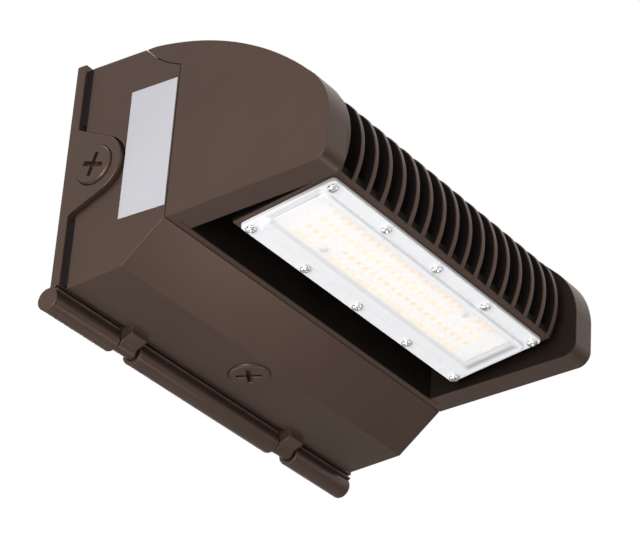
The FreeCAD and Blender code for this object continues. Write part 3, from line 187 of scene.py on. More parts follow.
class Effects:
    """The shader node groups that several finishes use, each built once."""

    def __init__(self) -> None:
        """Builds every group."""
        self.grain = self._grain()
        self.patches = self._patches()
        self.dust = self._dust()
        self.brushing = self._brushing()
        self.window = self._window()
        self.hollows = self._hollows()

    @staticmethod
    def _grain() -> bpy.types.NodeTree:
        """The fine bumps of a coated or moulded surface.

        Returns:
            The group: a height, and a mask of its lowest specks.
        """
        graph, given, end = open_group(
            "surface_grain",
            "ShaderNodeTree",
            {"Scale": (SocketKind.NUMBER, 900.0), "Fine Share": (SocketKind.NUMBER, 0.35)},
            {"Height": SocketKind.NUMBER, "Specks": SocketKind.NUMBER},
        )
        where = graph.add("ShaderNodeTexCoord").outputs["Object"]
        broad = graph.add("ShaderNodeTexNoise", {"Vector": where, "Scale": given["Scale"], "Detail": 2.0})
        fine_scale = graph.math("MULTIPLY", given["Scale"], 3.1)
        fine = graph.add("ShaderNodeTexNoise", {"Vector": where, "Scale": fine_scale, "Detail": 1.0})
        blend = graph.add(
            "ShaderNodeMix",
            {"Factor": given["Fine Share"], "A": broad.outputs["Fac"], "B": fine.outputs["Fac"]},
        )
        specks = graph.add(
            "ShaderNodeMapRange", {"Value": fine.outputs["Fac"], "From Min": 0.42, "From Max": 0.3}
        )
        graph.join(blend.outputs["Result"], end.inputs["Height"])
        graph.join(specks.outputs["Result"], end.inputs["Specks"])
        return graph.tree

    @staticmethod
    def _patches() -> bpy.types.NodeTree:
        """Slow changes of tone over a surface.

        Returns:
            The group: the colour in lighter and darker patches, and the patches as a mask.
        """
        graph, given, end = open_group(
            "tone_patches",
            "ShaderNodeTree",
            {
                "Colour": (SocketKind.COLOUR, (0.5, 0.5, 0.5, 1.0)),
                "Scale": (SocketKind.NUMBER, 20.0),
                "Amount": (SocketKind.NUMBER, 0.1),
            },
            {"Colour": SocketKind.COLOUR, "Patches": SocketKind.NUMBER},
        )
        where = graph.add("ShaderNodeTexCoord").outputs["Object"]
        noise = graph.add("ShaderNodeTexNoise", {"Vector": where, "Scale": given["Scale"], "Detail": 3.0})
        centred = graph.math("SUBTRACT", noise.outputs["Fac"], 0.5)
        change = graph.math("MULTIPLY_ADD", centred, graph.math("MULTIPLY", given["Amount"], 2.0), 1.0)
        tinted = graph.add("ShaderNodeVectorMath", {0: given["Colour"]}, operation="SCALE")
        graph.join(change, tinted.inputs["Scale"])
        graph.join(tinted.outputs[0], end.inputs["Colour"])
        graph.join(noise.outputs["Fac"], end.inputs["Patches"])
        return graph.tree

    @staticmethod
    def _dust() -> bpy.types.NodeTree:
        """A thin film that settles on the faces that look up.

        Returns:
            The group: the colour under its film, and the film as a mask.
        """
        graph, given, end = open_group(
            "settled_dust",
            "ShaderNodeTree",
            {
                "Colour": (SocketKind.COLOUR, (0.5, 0.5, 0.5, 1.0)),
                "Film Colour": (SocketKind.COLOUR, (0.3, 0.27, 0.24, 1.0)),
                "Amount": (SocketKind.NUMBER, 0.2),
            },
            {"Colour": SocketKind.COLOUR, "Film": SocketKind.NUMBER},
        )
        spot = graph.add("ShaderNodeTexCoord")
        upward = graph.add("ShaderNodeSeparateXYZ", {0: spot.outputs["Normal"]}).outputs["Z"]
        facing = graph.add("ShaderNodeMapRange", {"Value": upward, "From Min": 0.4, "From Max": 0.95})
        noise = graph.add(
            "ShaderNodeTexNoise", {"Vector": spot.outputs["Object"], "Scale": 60.0, "Detail": 4.0}
        )
        film = graph.math("MULTIPLY", facing.outputs["Result"], noise.outputs["Fac"])
        film = graph.math("MULTIPLY", film, given["Amount"])
        blend = graph.add("ShaderNodeMix", {"Factor": film}, data_type="RGBA")
        graph.join(given["Colour"], blend.inputs[6])
        graph.join(given["Film Colour"], blend.inputs[7])
        graph.join(blend.outputs[2], end.inputs["Colour"])
        graph.join(film, end.inputs["Film"])
        return graph.tree

    @staticmethod
    def _brushing() -> bpy.types.NodeTree:
        """Fine lines along one direction, as on turned or brushed metal.

        Returns:
            The group: a height and the lines as a mask.
        """
        graph, given, end = open_group(
            "brushed_lines",
            "ShaderNodeTree",
            {
                "Stretch": (SocketKind.VECTOR, (60.0, 2500.0, 2500.0)),
                "Contrast": (SocketKind.NUMBER, 1.0),
            },
            {"Height": SocketKind.NUMBER, "Lines": SocketKind.NUMBER},
        )
        where = graph.add("ShaderNodeTexCoord").outputs["Object"]
        along = graph.add("ShaderNodeVectorMath", {0: where, 1: given["Stretch"]}, operation="MULTIPLY")
        noise = graph.add("ShaderNodeTexNoise", {"Vector": along.outputs[0], "Scale": 1.0, "Detail": 3.0})
        lines = graph.math("MULTIPLY", noise.outputs["Fac"], given["Contrast"])
        graph.join(noise.outputs["Fac"], end.inputs["Height"])
        graph.join(lines, end.inputs["Lines"])
        return graph.tree

    @staticmethod
    def _window() -> bpy.types.NodeTree:
        """The raised window of the lens, as a mask in the tilted panel's own measures.

        Returns:
            The group: 1 inside the window and 0 on the flange.
        """
        graph, given, end = open_group(
            "lens_window",
            "ShaderNodeTree",
            {
                "Centre": (SocketKind.VECTOR, (0.0, 0.0, 0.0)),
                "Tilt": (SocketKind.VECTOR, (0.0, 0.0, 0.0)),
                "Half Length": (SocketKind.NUMBER, 0.09),
                "Half Depth": (SocketKind.NUMBER, 0.02),
                "Edge": (SocketKind.NUMBER, 0.003),
            },
            {"Window": SocketKind.NUMBER},
        )
        where = graph.add("ShaderNodeTexCoord").outputs["Object"]
        local = graph.add(
            "ShaderNodeMapping",
            {"Vector": where, "Location": given["Centre"], "Rotation": given["Tilt"]},
            vector_type="TEXTURE",
        )
        apart = graph.add("ShaderNodeSeparateXYZ", {0: local.outputs[0]})
        spare = []
        for axis, half in (("X", "Half Length"), ("Y", "Half Depth")):
            spare.append(graph.math("SUBTRACT", given[half], graph.math("ABSOLUTE", apart.outputs[axis])))
        nearest = graph.math("MINIMUM", *spare)
        window = graph.add("ShaderNodeMapRange", {"Value": nearest, "From Max": given["Edge"]})
        graph.join(window.outputs["Result"], end.inputs["Window"])
        return graph.tree

    @staticmethod
    def _hollows() -> bpy.types.NodeTree:
        """Painted shade deep between the fins, behind the light panel and on the rims' inner faces, where the
        coat is also made duller.

        Returns:
            The group: the colour darkened by painted shade in the hollows, and that painted shade as a mask.
        """
        graph, given, end = open_group(
            "painted_shade_hollows",
            "ShaderNodeTree",
            {
                "Colour": (SocketKind.COLOUR, (0.5, 0.5, 0.5, 1.0)),
                "Panel Centre": (SocketKind.VECTOR, (0.0, 0.0, 0.0)),
                "Panel Tilt": (SocketKind.VECTOR, (0.0, 0.0, 0.0)),
                "Nose": (SocketKind.VECTOR, (0.0, -118.16 * MM, -8.25 * MM)),
                "Nose Radius": (SocketKind.NUMBER, 43.0 * MM),
                "Crown": (SocketKind.VECTOR, (0.0, -36.66 * MM, -107.07 * MM)),
                "Crown Radius": (SocketKind.NUMBER, 169.05 * MM),
                "Half Width": (SocketKind.NUMBER, 103.7 * MM),
                "Wall": (SocketKind.NUMBER, -77.7 * MM),
                "Slab Face": (SocketKind.NUMBER, 2.2 * MM),
                "Left Over": (SocketKind.NUMBER, 0.3),
            },
            {"Colour": SocketKind.COLOUR, "Hollows": SocketKind.NUMBER},
        )
        nose_half_height, rim_skin, rim_depth = 20.0 * MM, 0.4 * MM, 15.0 * MM
        where = graph.add("ShaderNodeTexCoord").outputs["Object"]
        spot = graph.add("ShaderNodeSeparateXYZ", {0: where})
        local = graph.add(
            "ShaderNodeMapping",
            {"Vector": where, "Location": given["Panel Centre"], "Rotation": given["Panel Tilt"]},
            vector_type="TEXTURE",
        )
        panel = graph.add("ShaderNodeSeparateXYZ", {0: local.outputs[0]})

        # The skin over the fins is two arcs about the x axis: the nose in front, the crown above.
        # Past its half height the nose counts as a plane.
        nose = graph.add("ShaderNodeSeparateXYZ", {0: given["Nose"]})
        ahead = graph.math("MINIMUM", graph.math("SUBTRACT", spot.outputs["Y"], nose.outputs["Y"]), 0.0)
        above = graph.math("SUBTRACT", spot.outputs["Z"], nose.outputs["Z"])
        above = graph.math("MAXIMUM", graph.math("MINIMUM", above, nose_half_height), -nose_half_height)
        under_nose = graph.math("SUBTRACT", given["Nose Radius"], Effects._reach(graph, ahead, above))

        crown = graph.add("ShaderNodeSeparateXYZ", {0: given["Crown"]})
        away = graph.math("SUBTRACT", spot.outputs["Y"], crown.outputs["Y"])
        rise = graph.math("SUBTRACT", spot.outputs["Z"], crown.outputs["Z"])
        under_crown = graph.math("SUBTRACT", given["Crown Radius"], Effects._reach(graph, away, rise))

        # The rims' inner faces count as deep, so that the painted shade darkens them up to their edge.
        beside_rim = graph.math("SUBTRACT", given["Half Width"], graph.math("ABSOLUTE", panel.outputs["X"]))
        on_rim = graph.math("LESS_THAN", beside_rim, rim_skin)
        rim_face = graph.math("MULTIPLY", on_rim, rim_depth)
        under_skin = graph.math("ADD", graph.math("MINIMUM", under_nose, under_crown), rim_face)
        over_slab = graph.math("SUBTRACT", panel.outputs["Z"], given["Slab Face"])
        over_slab = graph.math("ADD", over_slab, rim_face)
        before_wall = graph.math("SUBTRACT", given["Wall"], spot.outputs["Y"])
        hollows = None
        for depth, start, full in (
            (under_skin, 0.1 * MM, 0.9 * MM),
            (over_slab, -0.6 * MM, 0.6 * MM),
            (beside_rim, -0.6 * MM, 0.1 * MM),
            (before_wall, -0.6 * MM, 0.1 * MM),
        ):
            fade = graph.add("ShaderNodeMapRange", {"Value": depth, "From Min": start, "From Max": full})
            share = fade.outputs[0]
            hollows = share if hollows is None else graph.math("MULTIPLY", hollows, share)
        # Painted shade: in the hollows the colour keeps only the Left Over share of itself.
        lost = graph.math("MULTIPLY", hollows, graph.math("SUBTRACT", 1.0, given["Left Over"]))
        left = graph.math("SUBTRACT", 1.0, lost)
        darker = graph.add("ShaderNodeVectorMath", {0: given["Colour"]}, operation="SCALE")
        graph.join(left, darker.inputs["Scale"])
        graph.join(darker.outputs[0], end.inputs["Colour"])
        graph.join(hollows, end.inputs["Hollows"])
        return graph.tree

    @staticmethod
    def _reach(graph: Graph, across: bpy.types.NodeSocket, up: bpy.types.NodeSocket) -> bpy.types.NodeSocket:
        """How far a spot is from an arc's centre.

        Args:
            graph: the graph that is filled.
            across: the distance along one axis.
            up: the distance along the other.

        Returns:
            The straight distance.
        """
        squares = [graph.math("MULTIPLY", way, way) for way in (across, up)]
        return graph.math("SQRT", graph.math("ADD", *squares))


# ---------------------------------------------------------------- finishes


@dataclass(frozen=True)
class Finish:
    """What every finish has in common.

    Args:
        name: the material's name.
        colour: its main colour, linear.
        roughness: how dull it is.
    """

    name: str
    colour: Colour
    roughness: float

    def begin(self, **sockets: float) -> tuple[bpy.types.Material, Graph, bpy.types.Node]:
        """Starts a material with a Principled shader.

        Args:
            sockets: the shader's own constant inputs, with underscores for spaces.

        Returns:
            The material, its graph and its shader.
        """
        material = bpy.data.materials.new(self.name)
        material.use_nodes = True
        material.node_tree.nodes.clear()
        graph = Graph(material.node_tree)
        shader = graph.add("ShaderNodeBsdfPrincipled", {"Roughness": self.roughness})
        shader.inputs["Base Color"].default_value = (*self.colour, 1.0)
        for label, value in sockets.items():
            shader.inputs[label.replace("_", " ")].default_value = value
        surface = graph.add("ShaderNodeOutputMaterial")
        graph.join(shader.outputs[0], surface.inputs["Surface"])
        return material, graph, shader

    def rgba(self) -> tuple[float, float, float, float]:
        """The colour with its alpha, as sockets want it."""
        return (*self.colour, 1.0)

    def build(self, effects: Effects) -> bpy.types.Material:
        """Builds the material; each kind of finish has its own."""
        raise NotImplementedError


def group_node(graph: Graph, tree: bpy.types.NodeTree, **sockets: object) -> bpy.types.Node:
    """Places a shared effect in a material.

    Args:
        graph: the material's graph.
        tree: the effect's group.
        sockets: values for the group's inputs, with underscores for spaces.

    Returns:
        The group's node.
    """
    named = {label.replace("_", " "): value for label, value in sockets.items()}
    return graph.add("ShaderNodeGroup", named, node_tree=tree)


def add_bump(
    graph: Graph, shader: bpy.types.Node, height: bpy.types.NodeSocket, depth: float, strength: float
) -> None:
    """Feeds a height to the shader's normal.

    Args:
        graph: the material's graph.
        shader: its Principled shader.
        height: the height, from 0 to 1.
        depth: how deep 1 is, in metres.
        strength: the share of it that shows.
    """
    bump = graph.add("ShaderNodeBump", {"Height": height, "Distance": depth, "Strength": strength})
    graph.join(bump.outputs["Normal"], shader.inputs["Normal"])


@dataclass(frozen=True)
class PowderCoat(Finish):
    """A baked powder coat over a casting: fine orange peel under a soft sheen, with painted shade darkening
    the head's hollows.
    """

    specular: float = 0.2
    flake: float = 0.6
    peel_scale: float = 700.0
    peel_depth: float = 0.06 * MM
    left_over: float = 0.12

    def build(self, effects: Effects) -> bpy.types.Material:
        """Builds the coat from patches, dust, grain and the painted shade of the hollows.

        Args:
            effects: the shared shader groups.

        Returns:
            The material.
        """
        material, graph, shader = self.begin(Specular_IOR_Level=self.specular, Metallic=self.flake)
        tone = group_node(graph, effects.patches, Colour=self.rgba(), Scale=22.0, Amount=0.1)
        dust = group_node(graph, effects.dust, Colour=tone.outputs["Colour"], Amount=0.1)
        grain = group_node(graph, effects.grain, Scale=self.peel_scale)
        # Painted shade darkens the colour in the hollows; its mask also makes the coat duller there.
        coat = group_node(
            graph,
            effects.hollows,
            Colour=dust.outputs["Colour"],
            Panel_Centre=PANEL.centre,
            Panel_Tilt=(PANEL.tilt, 0.0, 0.0),
            Left_Over=self.left_over,
        )
        graph.join(coat.outputs["Colour"], shader.inputs["Base Color"])
        dullness = graph.remap(tone.outputs["Patches"], self.roughness - 0.05, self.roughness + 0.06)
        dullness = graph.math("MULTIPLY_ADD", coat.outputs["Hollows"], 0.35, dullness)
        graph.join(dullness, shader.inputs["Roughness"])
        add_bump(graph, shader, grain.outputs["Height"], self.peel_depth, 0.5)
        return material


@dataclass(frozen=True)
class Metal(Finish):
    """Bare metal with fine lines from turning or brushing."""

    stretch: Triple = (60.0, 2500.0, 2500.0)

    def build(self, effects: Effects) -> bpy.types.Material:
        """Builds the metal from its lines and a few dull patches.

        Args:
            effects: the shared shader groups.

        Returns:
            The material.
        """
        material, graph, shader = self.begin(Metallic=1.0)
        tone = group_node(graph, effects.patches, Colour=self.rgba(), Scale=240.0, Amount=0.12)
        lines = group_node(graph, effects.brushing, Stretch=self.stretch)
        graph.join(tone.outputs["Colour"], shader.inputs["Base Color"])
        dullness = graph.remap(lines.outputs["Lines"], self.roughness - 0.08, self.roughness + 0.1)
        graph.join(dullness, shader.inputs["Roughness"])
        add_bump(graph, shader, lines.outputs["Height"], 0.02 * MM, 0.4)
        return material


@dataclass(frozen=True)
class Moulded(Finish):
    """Plastic, rubber, film or enamel with its own grain, and a painted glow in its own colour where glow is
    set.
    """

    grain_scale: float = 1500.0
    grain_depth: float = 0.03 * MM
    tone_amount: float = 0.06
    coat: float = 0.0
    specular: float = 0.5
    # Painted light: how strongly the surface glows in its own colour, though it is no lamp.
    glow: float = 0.0

    def build(self, effects: Effects) -> bpy.types.Material:
        """Builds the surface from patches and grain, with its painted glow.

        Args:
            effects: the shared shader groups.

        Returns:
            The material.
        """
        material, graph, shader = self.begin(
            Coat_Weight=self.coat, Specular_IOR_Level=self.specular, Emission_Strength=self.glow
        )
        tone = group_node(graph, effects.patches, Colour=self.rgba(), Scale=70.0, Amount=self.tone_amount)
        # The painted glow shines in the surface's own colour.
        if self.glow:
            graph.join(tone.outputs["Colour"], shader.inputs["Emission Color"])
        grain = group_node(graph, effects.grain, Scale=self.grain_scale)
        graph.join(tone.outputs["Colour"], shader.inputs["Base Color"])
        dullness = graph.remap(grain.outputs["Specks"], self.roughness, self.roughness + 0.12)
        graph.join(dullness, shader.inputs["Roughness"])
        add_bump(graph, shader, grain.outputs["Height"], self.grain_depth, 0.5)
        return material


@dataclass(frozen=True)
class MilkyLens(Finish):
    """The lens: a milky flange around a window that lets the chips show faintly, with a faint painted glow of
    its own.
    """

    centre: Triple = (0.0, 0.0, 0.0)
    tilt: float = 0.0
    half_length: float = 90.0 * MM
    half_depth: float = 16.5 * MM
    flange_alpha: float = 0.97
    window_alpha: float = 0.5

    def build(self, effects: Effects) -> bpy.types.Material:
        """Builds the lens from its window mask, patches, grain and a faint painted glow.

        Args:
            effects: the shared shader groups.

        Returns:
            The material.
        """
        # The weak emission in the lens's own colour is painted light: the lens glows though it is no lamp.
        material, graph, shader = self.begin(Coat_Weight=0.1, Emission_Strength=0.1)
        tone = group_node(graph, effects.patches, Colour=self.rgba(), Scale=45.0, Amount=0.03)
        grain = group_node(graph, effects.grain, Scale=260.0, Fine_Share=0.1)
        window = group_node(
            graph,
            effects.window,
            Centre=self.centre,
            Tilt=(self.tilt, 0.0, 0.0),
            Half_Length=self.half_length,
            Half_Depth=self.half_depth,
        )
        graph.join(tone.outputs["Colour"], shader.inputs["Base Color"])
        graph.join(tone.outputs["Colour"], shader.inputs["Emission Color"])
        seen = graph.remap(window.outputs["Window"], self.flange_alpha, self.window_alpha)
        graph.join(seen, shader.inputs["Alpha"])
        dullness = graph.remap(tone.outputs["Patches"], self.roughness - 0.04, self.roughness + 0.08)
        graph.join(dullness, shader.inputs["Roughness"])
        add_bump(graph, shader, grain.outputs["Height"], 0.05 * MM, 0.3)
        return material


@dataclass(frozen=True)
class Panel:
    """The tilted panel that carries lens, board and chips.

    Args:
        centre: its middle, on the face that the lens flange covers.
        tilt: its turn about the x axis, in radians.
    """

    centre: Triple = (-1.4 * MM, -126.0 * MM, -34.75 * MM)
    tilt: float = math.radians(-10.6)

    def matrix(self) -> Matrix:
        """From the panel's own measures to the light's frame."""
        return Matrix.Translation(self.centre) @ Matrix.Rotation(self.tilt, 4, "X")

    def range_of(self, node: str) -> tuple[float, float]:
        """How far a node reaches through the panel.

        Args:
            node: the node's name.

        Returns:
            Its lowest and highest point along the panel's own z axis.
        """
        inward = self.matrix().inverted()
        heights = [(inward @ vertex.co).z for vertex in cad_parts[node].data.vertices]
        return min(heights), max(heights)


PANEL = Panel()


class Shelf:
    """Every material of the light, built once and handed out by slot or by name."""

    def __init__(self) -> None:
        """Builds every finish."""
        effects = Effects()
        phosphor = (0.4, 3000.0, 0.02 * MM, 0.15, 0.4)  # roughness, grain, its depth, tone, coat
        sleeve = (0.42, 1800.0)  # roughness, grain
        by_slot = {
            Slot.BRONZE: PowderCoat("bronze_powder_coat", (0.094, 0.060, 0.046), 0.38),
            Slot.ALUMINIUM: Metal("brushed_aluminium", (0.66, 0.67, 0.68), 0.36),
            Slot.STEEL: Metal("stainless_steel", (0.84, 0.83, 0.82), 0.26, (900.0, 900.0, 3000.0)),
            Slot.RUBBER: Moulded(
                "black_silicone", (0.012, 0.012, 0.012), 0.75, 1100.0, 0.08 * MM, specular=0.12
            ),
            Slot.MOULDING: Moulded("ivory_nylon", (0.74, 0.71, 0.63), 0.45),
            Slot.SLEEVE: Moulded("black_sleeve", (0.02, 0.02, 0.022), *sleeve),
            Slot.FILM: Moulded(
                "blank_label_film", (0.64, 0.64, 0.68), 0.4, 500.0, 0.03 * MM, 0.03, specular=0.3
            ),
            Slot.LENS: MilkyLens(
                "milky_lens",
                (0.86, 0.865, 0.88),
                0.25,
                centre=(-4.4 * MM, -128.0 * MM, -34.4 * MM),
                tilt=PANEL.tilt,
            ),
            # The board, the chips and their cases get a painted glow that makes up for the light the lens
            # holds back.
            Slot.ENAMEL: Moulded(
                "white_board_enamel", (0.84, 0.81, 0.78), 0.4, 800.0, 0.02 * MM, 0.04, glow=0.6
            ),
            Slot.WARM: Moulded("warm_phosphor", (0.95, 0.44, 0.08), *phosphor, glow=0.7),
            Slot.COOL: Moulded("cool_phosphor", (0.95, 0.66, 0.08), *phosphor, glow=0.7),
        }
        by_node = {
            # The clear gasket also gets a faint painted glow.
            "lens_gasket": Moulded("clear_silicone", (0.78, 0.78, 0.79), 0.5, 1100.0, 0.05 * MM, glow=0.3),
            "hinge_rod": PowderCoat("coated_rod", (0.09, 0.06, 0.048), 0.38),
            "ground_wire": Moulded("green_sleeve", (0.03, 0.2, 0.06), *sleeve),
            "neutral_wire": Moulded("white_sleeve", (0.72, 0.71, 0.68), *sleeve),
            "panel_wire_plus": Moulded("red_sleeve", (0.42, 0.03, 0.025), *sleeve),
        }
        # The chip cases get the same painted glow.
        self.chip_case = Moulded("chip_case", (0.92, 0.74, 0.40), 0.35, 2500.0, glow=0.65).build(effects)
        self.by_slot = {slot.value: finish.build(effects) for slot, finish in by_slot.items()}
        self.by_node = {node: finish.build(effects) for node, finish in by_node.items()}

    def pick(self, slot: Slot) -> bpy.types.Material:
        """The material for a slot."""
        return self.by_slot[slot.value]

    def dress_nodes(self) -> None:
        """Gives every node of the frame its material, by slot or by its own name."""
        for name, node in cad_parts.items():
            for place in node.material_slots:
                slot = place.material.name.split(".")[0]
                place.material = self.by_node.get(name, self.by_slot[slot])


# ---------------------------------------------------------------- pieces


def settle(piece: bpy.types.Object, carrier: Carrier, slot: Slot, *nodes: str) -> bpy.types.Object:
    """Makes a finished mesh a piece of the light.

    Args:
        piece: the finished object.
        carrier: the body that it rides on.
        slot: the record's slot of its finish; not used.
        nodes: the nodes of the frame that it stands for.

    Returns:
        The same object.
    """
    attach(piece, carrier.value)
    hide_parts(*nodes)
    LOG.info("%s rides on %s with %d faces", piece.name, carrier.value, len(piece.data.polygons))
    return piece


def bake_modifiers(piece: bpy.types.Object) -> bpy.types.Object:
    """Turns an object and its modifiers into one plain mesh.

    Args:
        piece: the object; its modifiers are used up.

    Returns:
        The same object with its final mesh.
    """
    bpy.context.view_layer.update()
    graph = bpy.context.evaluated_depsgraph_get()
    mesh = bpy.data.meshes.new_from_object(
        piece.evaluated_get(graph), preserve_all_data_layers=True, depsgraph=graph
    )
    piece.modifiers.clear()
    piece.data = mesh
    mesh.name = piece.name
    return piece


def winding(spot: Vector, outline: list[Vector]) -> float:
    """How many turns a flat outline makes around a spot.

    Args:
        spot: the spot.
        outline: the outline's corners in order.

    Returns:
        The turns, counted anticlockwise.
    """
    arms = [corner - spot for corner in outline]
    sweep = 0.0
    for arm, following in zip(arms, arms[1:] + arms[:1]):
        sweep += math.atan2(arm.x * following.y - arm.y * following.x, arm.dot(following))
    return sweep / math.tau


def refill_face(solid: bmesh.types.BMesh, face: bmesh.types.BMFace) -> None:
    """Puts clean triangles in the place of a face whose outline touches or crosses itself.

    Args:
        solid: the mesh.
        face: the face; it is used up.
    """
    corners = list(face.verts)
    flatten = face.normal.rotation_difference(Vector((0.0, 0.0, 1.0))).to_matrix()
    level = [flatten @ corner.co / MM for corner in corners]
    outline = [spot.to_2d() for spot in level]
    whole = [list(range(len(outline)))]
    spots, _, triangles, sources, _, _ = delaunay_2d_cdt(outline, [], whole, 0, MERGE_GAP)
    ends = []
    for spot, source in zip(spots, sources):
        if source:
            ends.append(corners[source[0]])
        else:
            ends.append(solid.verts.new(flatten.inverted() @ Vector((spot.x, spot.y, level[0].z)) * MM))
    for triangle in triangles:
        middle = sum((spots[index] for index in triangle), Vector((0.0, 0.0))) / 3
        if winding(middle, outline) > 0.5:
            solid.faces.new([ends[index] for index in triangle]).smooth = True
    bmesh.ops.delete(solid, geom=[face], context="FACES_ONLY")


def mend_outlines(mesh: bpy.types.Mesh) -> None:
    """Refills the faces that a rounding has pushed across their own outline.

    Args:
        mesh: the mesh.
    """
    mesh.calc_loop_triangles()
    filled = [0.0] * len(mesh.polygons)
    for triangle in mesh.loop_triangles:
        filled[triangle.polygon_index] += triangle.area
    torn = [
        face.index
        for face in mesh.polygons
        if face.loop_total > 4 and filled[face.index] > OVERLAP_LIMIT * face.area
    ]
    solid = bmesh.new()
    solid.from_mesh(mesh)
    solid.faces.ensure_lookup_table()
    for face in [solid.faces[index] for index in torn]:
        refill_face(solid, face)
    solid.to_mesh(mesh)
    solid.free()


def new_object(name: str, mesh: bpy.types.Mesh) -> bpy.types.Object:
    """Puts a mesh in the scene as an object of that name."""
    piece = bpy.data.objects.new(name, mesh)
    bpy.context.scene.collection.objects.link(piece)
    return piece


def keen_shading(mesh: bpy.types.Mesh, angle: float) -> None:
    """Shades a mesh smoothly except at edges sharper than an angle in radians."""
    mesh.shade_smooth()
    mesh.set_sharp_from_angle(angle=angle)


@dataclass
class SoftCasting:
    """A casting or moulding of the frame, with its sharp edges rounded off.

    Args:
        node: the node of the frame that is copied.
        name: the piece's name.
        carrier: the body that it rides on.
        slot: the record's slot of its finish.
        edge: how much of each face the rounding takes.
        turn: how far a round piece is turned about its own axis, in radians.
        steps: how many faces the rounding has.
        sharp: the least angle between faces that is rounded.
        used_room: how much of the room beside an edge its rounding may take.
        least_share: the least share of the rounding that is worth making.
        kept_sharp: the least angle between faces that is still shaded as an edge.
    """

    node: str
    name: str
    carrier: Carrier
    slot: Slot
    edge: float
    turn: float = 0.0
    steps: int = 2
    sharp: float = math.radians(24)
    used_room: float = 0.8
    least_share: float = 0.3
    kept_sharp: float = math.radians(48)

    def build(self, shelf: Shelf) -> bpy.types.Object:
        """Copies the node, turns it where told, rounds it and dresses it.

        Args:
            shelf: the materials.

        Returns:
            The finished piece.
        """
        piece = new_object(self.name, self._merged_copy())
        piece.data.materials.clear()
        piece.data.materials.append(shelf.pick(self.slot))
        rounding = piece.modifiers.new("rounding", "BEVEL")
        rounding.limit_method = "WEIGHT"
        rounding.width = self.edge
        rounding.segments = self.steps
        rounding.use_clamp_overlap = False
        rounding.miter_outer = "MITER_ARC"
        bake_modifiers(piece)
        mend_outlines(piece.data)
        self._smooth(piece)
        return settle(piece, self.carrier, self.slot, self.node)

    def _merged_copy(self) -> bpy.types.Mesh:
        """The node's triangles joined into whole faces, turned, with a weight on each sharp edge.

        A turned piece is round: its axis goes through the middle of its largest face.
        """
        solid = bmesh.new()
        solid.from_mesh(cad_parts[self.node].data)
        bmesh.ops.remove_doubles(solid, verts=solid.verts, dist=0.002 * MM)
        bmesh.ops.dissolve_limit(
            solid,
            angle_limit=math.radians(0.5),
            verts=solid.verts,
            edges=solid.edges,
            use_dissolve_boundaries=False,
        )
        if self.turn:
            disc = max(solid.faces, key=lambda face: face.calc_area())
            turned = Matrix.Rotation(self.turn, 3, disc.normal)
            bmesh.ops.rotate(solid, cent=disc.calc_center_median(), matrix=turned, verts=solid.verts)
        self._weigh_edges(solid)
        mesh = bpy.data.meshes.new(self.name)
        solid.to_mesh(mesh)
        solid.free()
        if "custom_normal" in mesh.attributes:
            mesh.attributes.remove(mesh.attributes["custom_normal"])
        return mesh

    def _weigh_edges(self, solid: bmesh.types.BMesh) -> None:
        """Gives each sharp edge the share of the rounding that its neighbours leave room for.

        Args:
            solid: the merged mesh.
        """
        weights = solid.edges.layers.float.get("bevel_weight_edge")
        if weights is None:
            weights = solid.edges.layers.float.new("bevel_weight_edge")
        sharp = {e for e in solid.edges if len(e.link_faces) == 2 and e.calc_face_angle(0.0) > self.sharp}
        room = {}
        for vertex in solid.verts:
            flat = [e.calc_length() for e in vertex.link_edges if e not in sharp]
            keen = [e.calc_length() / 2 for e in vertex.link_edges if e in sharp]
            room[vertex] = min(flat + (keen if len(keen) > 2 else []), default=self.edge * 2)
        for edge in sharp:
            share = self.used_room * min(room[v] for v in edge.verts) / self.edge
            edge[weights] = min(1.0, share) if share > self.least_share else 0.0

    def _smooth(self, piece: bpy.types.Object) -> None:
        """Shades the piece smoothly, with flat faces kept flat."""
        keen_shading(piece.data, self.kept_sharp)
        flatten = piece.modifiers.new("flat_faces", "WEIGHTED_NORMAL")
        flatten.keep_sharp = True
        bake_modifiers(piece)


# ---------------------------------------------------------------- repeated parts


def run_tree(piece: bpy.types.Object, tree: bpy.types.NodeTree, values: dict[str, object]) -> None:
    """Runs a Geometry Nodes tree on an object and keeps the plain result.

    Args:
        piece: the object that carries the tree's starting shape.
        tree: the tree.
        values: the tree's inputs by name.
    """
    modifier = piece.modifiers.new("spread", "NODES")
    modifier.node_group = tree
    for item in tree.interface.items_tree:
        if item.item_type == "SOCKET" and item.in_out == "INPUT" and item.name in values:
            modifier[item.identifier] = values[item.name]
    bake_modifiers(piece)


